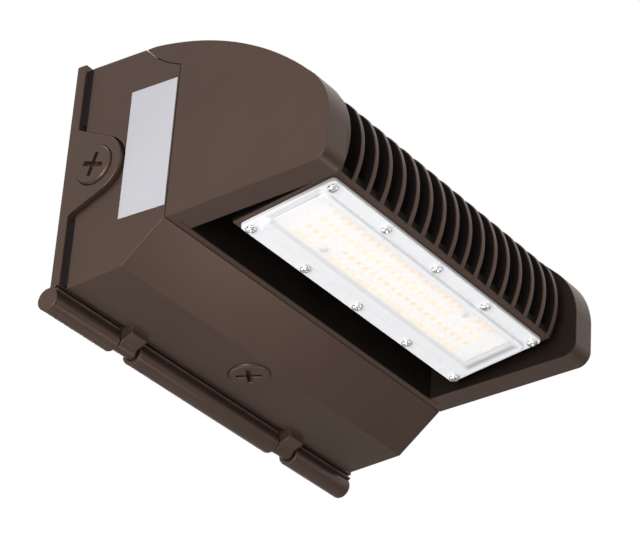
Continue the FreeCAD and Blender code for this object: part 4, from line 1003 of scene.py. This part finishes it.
@dataclass
class PanHeadScrews:
    """Rows of pan head screws with a cross recess, spread over the tilted panel.

    Args:
        node: the node of the frame that they stand for.
        name: the piece's name.
        radius: the head's radius.
        height: the head's height.
        shank: the shank's radius.
        columns: how many screws in a row.
        rows: how many rows.
        length: from the first to the last of a row.
        depth: from row to row.
        row_turn: how far the rows are turned on the panel.
        seed: the seed of the screws' turns.
        slot_length: the cross recess's length, as a share of the head's radius.
        slot_width: its width, as a share of the same.
        slot_depth: its depth, as a share of the head's height.
        head_steps: how many rings the head's crown has.
        sides: how many faces go round the screw.
        kept_sharp: the least angle between faces that is shaded as an edge.
    """

    node: str
    name: str
    radius: float
    height: float
    shank: float
    columns: int
    rows: int
    length: float
    depth: float
    row_turn: float
    seed: int
    slot_length: float = 1.3
    slot_width: float = 0.34
    slot_depth: float = 0.62
    head_steps: int = 8
    sides: int = 32
    kept_sharp: float = math.radians(38)

    def build(self, shelf: Shelf) -> bpy.types.Object:
        """Builds one screw, spreads it and dresses it.

        Args:
            shelf: the materials.

        Returns:
            The finished piece.
        """
        top, end = PANEL.range_of(self.node)
        piece = new_object(self.name, self._screw_mesh(end - top))
        run_tree(
            piece,
            self._tree(),
            {
                "Columns": self.columns,
                "Rows": self.rows,
                "Length": self.length,
                "Depth": self.depth,
                "Row Turn": self.row_turn,
                "Slot Length": self.radius * self.slot_length,
                "Slot Width": self.radius * self.slot_width,
                "Slot Depth": self.height * self.slot_depth,
                "Head Height": self.height,
                "Seed": self.seed,
                "Finish": shelf.pick(Slot.STEEL),
            },
        )
        piece.data.transform(PANEL.matrix() @ Matrix.Translation((0, 0, top + self.height)))
        mend_outlines(piece.data)
        keen_shading(piece.data, self.kept_sharp)
        return settle(piece, Carrier.HOUSING, Slot.STEEL, self.node)

    def _screw_mesh(self, whole: float) -> bpy.types.Mesh:
        """One screw, head down, with its seat at height 0.

        Args:
            whole: the screw's whole length.

        Returns:
            Its mesh.
        """
        side_height = 0.28
        point = whole - self.height
        profile = []
        for step in range(self.head_steps + 1):
            turn = math.radians(90) * step / self.head_steps
            across = self.radius * math.sin(turn) ** 0.7
            profile.append((across, -self.height * (side_height + (1 - side_height) * math.cos(turn) ** 0.8)))
        profile += [(self.radius, -0.04 * self.height), (self.radius * 0.96, 0.0), (self.shank, 0.0)]
        profile += [(self.shank, point - self.shank * 0.6), (0.0, point)]
        solid = bmesh.new()
        corners = [solid.verts.new((across, 0.0, height)) for across, height in profile]
        edges = [solid.edges.new(pair) for pair in zip(corners, corners[1:])]
        bmesh.ops.spin(
            solid,
            geom=corners + edges,
            axis=(0, 0, 1),
            cent=(0, 0, 0),
            dvec=(0, 0, 0),
            angle=math.tau,
            steps=self.sides,
        )
        bmesh.ops.remove_doubles(solid, verts=solid.verts, dist=0.001 * MM)
        bmesh.ops.recalc_face_normals(solid, faces=solid.faces)
        mesh = bpy.data.meshes.new(self.name)
        solid.to_mesh(mesh)
        solid.free()
        return mesh

    @staticmethod
    def _tree() -> bpy.types.NodeTree:
        """The tree that cuts the cross recess and spreads the screws in rows.

        Returns:
            The Geometry Nodes tree.
        """
        known = bpy.data.node_groups.get("screw_rows")
        if known:
            return known
        graph, given, end = open_group(
            "screw_rows",
            "GeometryNodeTree",
            {
                "Screw": (SocketKind.SHAPE, None),
                "Columns": (SocketKind.COUNT, 5),
                "Rows": (SocketKind.COUNT, 2),
                "Length": (SocketKind.NUMBER, 0.178),
                "Depth": (SocketKind.NUMBER, 0.048),
                "Row Turn": (SocketKind.NUMBER, 0.0),
                "Slot Length": (SocketKind.NUMBER, 0.004),
                "Slot Width": (SocketKind.NUMBER, 0.001),
                "Slot Depth": (SocketKind.NUMBER, 0.001),
                "Head Height": (SocketKind.NUMBER, 0.002),
                "Seed": (SocketKind.COUNT, 1),
                "Finish": (SocketKind.FINISH, None),
            },
            {"Screws": SocketKind.SHAPE},
        )
        bars = []
        tall = graph.math("MULTIPLY", given["Slot Depth"], 2.0)
        for long_side, short_side in (("Slot Length", "Slot Width"), ("Slot Width", "Slot Length")):
            size = graph.add(
                "ShaderNodeCombineXYZ", {"X": given[long_side], "Y": given[short_side], "Z": tall}
            )
            bars.append(graph.add("GeometryNodeMeshCube", {"Size": size.outputs[0]}).outputs["Mesh"])
        cross = graph.add("GeometryNodeMeshBoolean", {"Mesh 2": bars[0]}, operation="UNION")
        graph.join(bars[1], cross.inputs["Mesh 2"])
        lift = graph.add("ShaderNodeCombineXYZ", {"Z": graph.math("MULTIPLY", given["Head Height"], -1.0)})
        placed = graph.add(
            "GeometryNodeTransform", {"Geometry": cross.outputs[0], "Translation": lift.outputs[0]}
        )
        cut = graph.add(
            "GeometryNodeMeshBoolean",
            {"Mesh 1": given["Screw"], "Mesh 2": placed.outputs[0]},
            operation="DIFFERENCE",
        )
        grid = graph.add(
            "GeometryNodeMeshGrid",
            {
                "Size X": given["Length"],
                "Size Y": given["Depth"],
                "Vertices X": given["Columns"],
                "Vertices Y": given["Rows"],
            },
        )
        turned = graph.add("GeometryNodeTransform", {"Geometry": grid.outputs["Mesh"]})
        spin = graph.add("ShaderNodeCombineXYZ", {"Z": given["Row Turn"]})
        graph.join(spin.outputs[0], turned.inputs["Rotation"])
        draw = graph.add(
            "FunctionNodeRandomValue", {"Min": 0.0, "Max": math.tau, "Seed": given["Seed"]}, data_type="FLOAT"
        )
        own_turn = graph.add("ShaderNodeCombineXYZ", {"Z": draw.outputs[1]})
        spread = graph.add(
            "GeometryNodeInstanceOnPoints",
            {"Points": turned.outputs[0], "Instance": cut.outputs["Mesh"], "Rotation": own_turn.outputs[0]},
        )
        whole = graph.add("GeometryNodeRealizeInstances", {"Geometry": spread.outputs[0]})
        dressed = graph.add(
            "GeometryNodeSetMaterial", {"Geometry": whole.outputs[0], "Material": given["Finish"]}
        )
        graph.join(dressed.outputs[0], end.inputs["Screws"])
        return graph.tree


@dataclass
class ChipRows:
    """Two rows of light chips of one tone on the board.

    Args:
        node: the node of the frame that they stand for.
        name: the piece's name.
        slot: the record's slot of their phosphor.
        middle: the rows' middle on the panel.
        columns: how many chips in a row.
        pitch: from chip to chip.
        row_gap: from row to row.
        clear: how far chips keep from a board screw.
        screw: the first board screw's place on the panel; the second is opposite it.
        half_length: half of a chip's length.
        half_depth: half of its depth.
        kept_sharp: the least angle between faces that is shaded as an edge.
    """

    node: str
    name: str
    slot: Slot
    middle: float
    columns: int = 24
    pitch: float = 6.0 * MM
    row_gap: float = 15.7 * MM
    clear: float = 7.8 * MM
    screw: tuple[float, float] = (-47.5 * MM, 10.0 * MM)
    half_length: float = 1.5 * MM
    half_depth: float = 1.4 * MM
    kept_sharp: float = math.radians(30)

    def build(self, shelf: Shelf) -> bpy.types.Object:
        """Builds one chip, spreads it and dresses it.

        Args:
            shelf: the materials.

        Returns:
            The finished piece.
        """
        low, high = PANEL.range_of(self.node)
        piece = new_object(self.name, self._chip_mesh(high - low))
        run_tree(
            piece,
            self._tree(),
            {
                "Columns": self.columns,
                "Length": (self.columns - 1) * self.pitch,
                "Depth": self.row_gap,
                "Middle": (0.0, self.middle, 0.0),
                "Clear": self.clear,
                "Screw": (*self.screw, 0.0),
                "Case": shelf.chip_case,
                "Phosphor": shelf.pick(self.slot),
            },
        )
        piece.data.transform(PANEL.matrix() @ Matrix.Translation((0, 0, low)))
        keen_shading(piece.data, self.kept_sharp)
        return settle(piece, Carrier.HOUSING, self.slot, self.node)

    def _chip_mesh(self, height: float) -> bpy.types.Mesh:
        """One chip, face down: a case with a phosphor pad set into its face.

        Args:
            height: the chip's height.

        Returns:
            Its mesh, with the pad marked.
        """
        rings = [(1.0, height), (1.0, 0.2 * height), (0.97, 0.0), (0.92, 0.0), (0.88, 0.12 * height)]
        signs = ((-1, -1), (1, -1), (1, 1), (-1, 1))
        solid = bmesh.new()
        marks = solid.faces.layers.bool.new("phosphor_pad")
        loops = [
            [
                solid.verts.new((x * self.half_length * share, y * self.half_depth * share, z))
                for x, y in signs
            ]
            for share, z in rings
        ]
        solid.faces.new(loops[0])
        for outer, inner in zip(loops, loops[1:]):
            for i in range(4):
                solid.faces.new((outer[i], inner[i], inner[(i + 1) % 4], outer[(i + 1) % 4]))
        pad = solid.faces.new(loops[-1])
        bmesh.ops.recalc_face_normals(solid, faces=solid.faces)
        pad[marks] = True
        mesh = bpy.data.meshes.new(self.name)
        solid.to_mesh(mesh)
        solid.free()
        return mesh

    @staticmethod
    def _tree() -> bpy.types.NodeTree:
        """The tree that spreads chips on a grid and leaves out those near a screw.

        Returns:
            The Geometry Nodes tree.
        """
        known = bpy.data.node_groups.get("chip_rows")
        if known:
            return known
        graph, given, end = open_group(
            "chip_rows",
            "GeometryNodeTree",
            {
                "Chip": (SocketKind.SHAPE, None),
                "Columns": (SocketKind.COUNT, 24),
                "Length": (SocketKind.NUMBER, 0.138),
                "Depth": (SocketKind.NUMBER, 0.0157),
                "Middle": (SocketKind.VECTOR, (0.0, 0.0, 0.0)),
                "Clear": (SocketKind.NUMBER, 0.0078),
                "Screw": (SocketKind.VECTOR, (0.0, 0.0, 0.0)),
                "Case": (SocketKind.FINISH, None),
                "Phosphor": (SocketKind.FINISH, None),
            },
            {"Chips": SocketKind.SHAPE},
        )
        grid = graph.add(
            "GeometryNodeMeshGrid",
            {
                "Size X": given["Length"],
                "Size Y": given["Depth"],
                "Vertices X": given["Columns"],
                "Vertices Y": 2,
            },
        )
        moved = graph.add(
            "GeometryNodeTransform", {"Geometry": grid.outputs["Mesh"], "Translation": given["Middle"]}
        )
        where = graph.add("GeometryNodeInputPosition").outputs[0]
        opposite = graph.add("ShaderNodeVectorMath", {0: given["Screw"]}, operation="SCALE")
        opposite.inputs["Scale"].default_value = -1.0
        far = [
            graph.add("ShaderNodeVectorMath", {0: where, 1: spot}, operation="DISTANCE").outputs["Value"]
            for spot in (given["Screw"], opposite.outputs[0])
        ]
        near = graph.add(
            "FunctionNodeCompare", {0: graph.math("MINIMUM", *far), 1: given["Clear"]}, operation="LESS_THAN"
        )
        thinned = graph.add(
            "GeometryNodeDeleteGeometry",
            {"Geometry": moved.outputs[0], "Selection": near.outputs[0]},
            domain="POINT",
        )
        spread = graph.add(
            "GeometryNodeInstanceOnPoints", {"Points": thinned.outputs[0], "Instance": given["Chip"]}
        )
        whole = graph.add("GeometryNodeRealizeInstances", {"Geometry": spread.outputs[0]})
        cased = graph.add(
            "GeometryNodeSetMaterial", {"Geometry": whole.outputs[0], "Material": given["Case"]}
        )
        pads = graph.add("GeometryNodeInputNamedAttribute", {"Name": "phosphor_pad"}, data_type="BOOLEAN")
        shown = next(socket for socket in pads.outputs if socket.name == "Attribute" and socket.enabled)
        dressed = graph.add(
            "GeometryNodeSetMaterial",
            {"Geometry": cased.outputs[0], "Selection": shown, "Material": given["Phosphor"]},
        )
        graph.join(dressed.outputs[0], end.inputs["Chips"])
        return graph.tree


# ---------------------------------------------------------------- sub-assemblies


@dataclass
class MountBase:
    """The plate on the wall, with its hinge lip, ears and side plugs."""

    plate_edge: float = 0.6 * MM
    plug_edge: float = 0.35 * MM
    plug_turn: float = math.radians(18)

    def build(self, shelf: Shelf) -> None:
        """Builds the plate and its plugs.

        Args:
            shelf: the materials.
        """
        bronze = (Carrier.MOUNT, Slot.BRONZE)
        SoftCasting("back_plate", "wall_plate", *bronze, self.plate_edge).build(shelf)
        for side in ("left", "right"):
            name = f"side_knockout_{side}"
            SoftCasting(f"side_plug_{side}", name, *bronze, self.plug_edge, self.plug_turn).build(shelf)


@dataclass
class DriverBox:
    """The box that swings on the plate, with its floor plug, driver and terminal block."""

    box_edge: float = 0.35 * MM
    plug_edge: float = 0.35 * MM
    plug_turn: float = math.radians(32)
    inner_edge: float = 0.5 * MM

    def build(self, shelf: Shelf) -> None:
        """Builds the box and the moulded or folded parts inside it.

        Args:
            shelf: the materials.
        """
        for node, name, slot, edge, turn in (
            ("driver_box", "housing_box", Slot.BRONZE, self.box_edge, 0.0),
            ("bottom_plug", "floor_knockout", Slot.BRONZE, self.plug_edge, self.plug_turn),
            ("driver_case", "driver_shell", Slot.ALUMINIUM, self.inner_edge, 0.0),
            ("terminal_block", "wire_block", Slot.MOULDING, self.inner_edge, 0.0),
        ):
            SoftCasting(node, name, Carrier.HOUSING, slot, edge, turn).build(shelf)


@dataclass
class LampHead:
    """The finned head with its lens, screws and chips."""

    head_edge: float = 0.35 * MM
    lens_edge: float = 0.5 * MM
    row_middle: float = 3.925 * MM
    lens_screw: Triple = (2.9 * MM, 1.8 * MM, 1.5 * MM)
    lens_screw_spread: tuple[float, float] = (178 * MM, 48 * MM)
    board_screw: Triple = (2.3 * MM, 1.2 * MM, 1.2 * MM)
    board_screw_step: tuple[float, float] = (95.0 * MM, -20.0 * MM)

    def build(self, shelf: Shelf) -> None:
        """Builds the casting, the lens and what sits on the panel.

        A screw's sizes are its head's radius, its head's height and its shank's radius.

        Args:
            shelf: the materials.
        """
        SoftCasting("head", "finned_head", Carrier.HOUSING, Slot.BRONZE, self.head_edge).build(shelf)
        SoftCasting("lens", "lens_plate", Carrier.HOUSING, Slot.LENS, self.lens_edge).build(shelf)
        PanHeadScrews(
            "lens_screws",
            "lens_fixings",
            *self.lens_screw,
            columns=5,
            rows=2,
            length=self.lens_screw_spread[0],
            depth=self.lens_screw_spread[1],
            row_turn=0.0,
            seed=11,
        ).build(shelf)
        along, back = self.board_screw_step
        PanHeadScrews(
            "board_screws",
            "board_fixings",
            *self.board_screw,
            columns=2,
            rows=1,
            length=math.hypot(along, back),
            depth=0.0,
            row_turn=math.atan2(back, along),
            seed=12,
        ).build(shelf)
        ChipRows("leds_cool", "cool_chips", Slot.COOL, self.row_middle).build(shelf)
        ChipRows("leds_warm", "warm_chips", Slot.WARM, -self.row_middle).build(shelf)


# ---------------------------------------------------------------- studio


@dataclass(frozen=True)
class Lamp:
    """One soft area lamp.

    Args:
        name: its name.
        place: where it stands, in metres.
        width: its size.
        power: its power in watts.
        colour: its light's colour.
    """

    name: str
    place: Triple
    width: float
    power: float
    colour: Colour = (1.0, 1.0, 1.0)

    def build(self, target: Vector) -> None:
        """Hangs the lamp and turns it to the light.

        Args:
            target: the point that it faces.
        """
        data = bpy.data.lights.new(self.name, "AREA")
        data.shape = "DISK"
        data.size = self.width
        data.energy = self.power
        data.color = self.colour
        lamp = bpy.data.objects.new(self.name, data)
        lamp.location = self.place
        lamp.rotation_euler = (target - lamp.location).to_track_quat("-Z", "Y").to_euler()
        bpy.context.scene.collection.objects.link(lamp)


@dataclass(frozen=True)
class Viewpoint:
    """The camera of the picture.

    Args:
        place: where it stands, in metres.
        azimuth: where it looks, from the y axis towards the x axis, in degrees.
        rise: how far it looks up, in degrees.
        roll: its turn about its own axis, in degrees.
        focal: its focal length in millimetres, on a sensor 36 wide.
        shift: the small sideways and upward shift of the frame.
    """

    place: Triple = (-0.943269, -0.800044, -0.667167)
    azimuth: float = 52.66172
    rise: float = 28.96309
    roll: float = -4.10183
    focal: float = 149.4443
    shift: tuple[float, float] = (-0.010342, -0.007013)

    def build(self) -> None:
        """Sets up the camera."""
        data = bpy.data.cameras.new("viewpoint")
        data.lens = self.focal
        data.sensor_width = 36.0
        data.shift_x, data.shift_y = self.shift
        data.clip_start = 0.01
        camera = bpy.data.objects.new("viewpoint", data)
        camera.location = self.place
        heading = Euler((math.radians(90.0 + self.rise), 0.0, math.radians(-self.azimuth)))
        tip = Matrix.Rotation(math.radians(-self.roll), 3, "Z")
        camera.rotation_euler = (heading.to_matrix() @ tip).to_euler()
        bpy.context.scene.collection.objects.link(camera)
        bpy.context.scene.camera = camera


def seen_rays(graph: Graph) -> bpy.types.NodeSocket:
    """The rays by which the surroundings are seen: straight, mirrored or through glass.

    Args:
        graph: the graph of the floor's material or of the world.

    Returns:
        1 for such a ray, and 0 for one that only carries light.
    """
    path = graph.add("ShaderNodeLightPath")
    seen = graph.math("ADD", path.outputs["Is Camera Ray"], path.outputs["Is Glossy Ray"])
    seen = graph.math("ADD", seen, path.outputs["Is Transmission Ray"])
    return graph.math("MINIMUM", seen, 1.0)


@dataclass
class Studio:
    """The plain floor, the white surroundings, the lamps and the camera."""

    floor_height: float = -2.0
    floor_size: float = 30.0
    ambient: float = 0.1
    floor_white: float = 0.2
    floor_seen: float = 0.93
    target: Triple = (0.0, -0.08, 0.0)

    def build(self) -> None:
        """Sets up the whole studio."""
        self._floor()
        self._surroundings()
        target = Vector(self.target)
        for lamp in (
            Lamp("side_lamp", (-1.0, -0.35, -0.4), 0.6, 9.5),
            Lamp("corner_lamp", (-0.32, -0.5, -0.2), 0.15, 0.25),
            Lamp("sheen_lamp", (0.15, -0.24, -0.27), 0.08, 0.1),
            Lamp("under_lamp", (0.25, 0.15, -1.5), 0.7, 3.6),
            Lamp("low_back_lamp", (-0.1, 0.9, -1.3), 0.7, 5.0),
            Lamp("top_lamp", (0.3, 0.1, 1.8), 1.2, 26.0),
            Lamp("back_lamp", (0.9, 1.6, 0.7), 1.2, 26.0),
        ):
            lamp.build(target)
        Viewpoint().build()
        bpy.context.scene.view_settings.view_transform = "Standard"

    def _floor(self) -> None:
        """The pale floor far below the light, with a faintly mottled paint."""
        half = self.floor_size / 2
        mesh = bpy.data.meshes.new("floor")
        corners = [(-half, -half), (half, -half), (half, half), (-half, half)]
        mesh.from_pydata([(x, y, self.floor_height) for x, y in corners], [], [(0, 1, 2, 3)])
        floor = new_object("floor", mesh)
        material = bpy.data.materials.new("floor_paint")
        material.use_nodes = True
        graph = Graph(material.node_tree)
        shader = material.node_tree.nodes["Principled BSDF"]
        noise = graph.add("ShaderNodeTexNoise", {"Scale": 3.0})
        tone = graph.remap(noise.outputs["Fac"], 0.86, 0.9)
        paint = graph.add("ShaderNodeCombineColor", {"Red": tone, "Green": tone, "Blue": tone})
        graph.join(paint.outputs[0], shader.inputs["Base Color"])
        shader.inputs["Roughness"].default_value = 0.8
        glow = graph.add("ShaderNodeEmission", {"Color": (1.0, 1.0, 1.0, 1.0), "Strength": 1.0})
        share = graph.math("MULTIPLY", seen_rays(graph), self.floor_white)
        direct = graph.add("ShaderNodeLightPath").outputs["Is Camera Ray"]
        share = graph.math("MAXIMUM", share, graph.math("MULTIPLY", direct, self.floor_seen))
        blend = graph.add("ShaderNodeMixShader", {0: share, 1: shader.outputs[0], 2: glow.outputs[0]})
        surface = material.node_tree.nodes["Material Output"]
        graph.join(blend.outputs[0], surface.inputs["Surface"])
        mesh.materials.append(material)

    def _surroundings(self) -> None:
        """A world that is white where it is seen and dimmer where it lights the object."""
        world = bpy.data.worlds.new("surroundings")
        world.use_nodes = True
        world.node_tree.nodes.clear()
        graph = Graph(world.node_tree)
        dim = graph.add("ShaderNodeBackground", {"Color": (1.0, 1.0, 1.0, 1.0), "Strength": self.ambient})
        white = graph.add("ShaderNodeBackground", {"Color": (1.0, 1.0, 1.0, 1.0), "Strength": 1.0})
        seen = seen_rays(graph)
        blend = graph.add("ShaderNodeMixShader", {0: seen, 1: dim.outputs[0], 2: white.outputs[0]})
        surface = graph.add("ShaderNodeOutputWorld")
        graph.join(blend.outputs[0], surface.inputs["Surface"])
        bpy.context.scene.world = world


def main() -> None:
    """Builds the light's looks and the studio."""
    logging.basicConfig(level=logging.INFO, format="%(name)s: %(message)s")
    shelf = Shelf()
    shelf.dress_nodes()
    MountBase().build(shelf)
    DriverBox().build(shelf)
    LampHead().build(shelf)
    Studio().build()


if __name__ == "__main__":
    main()
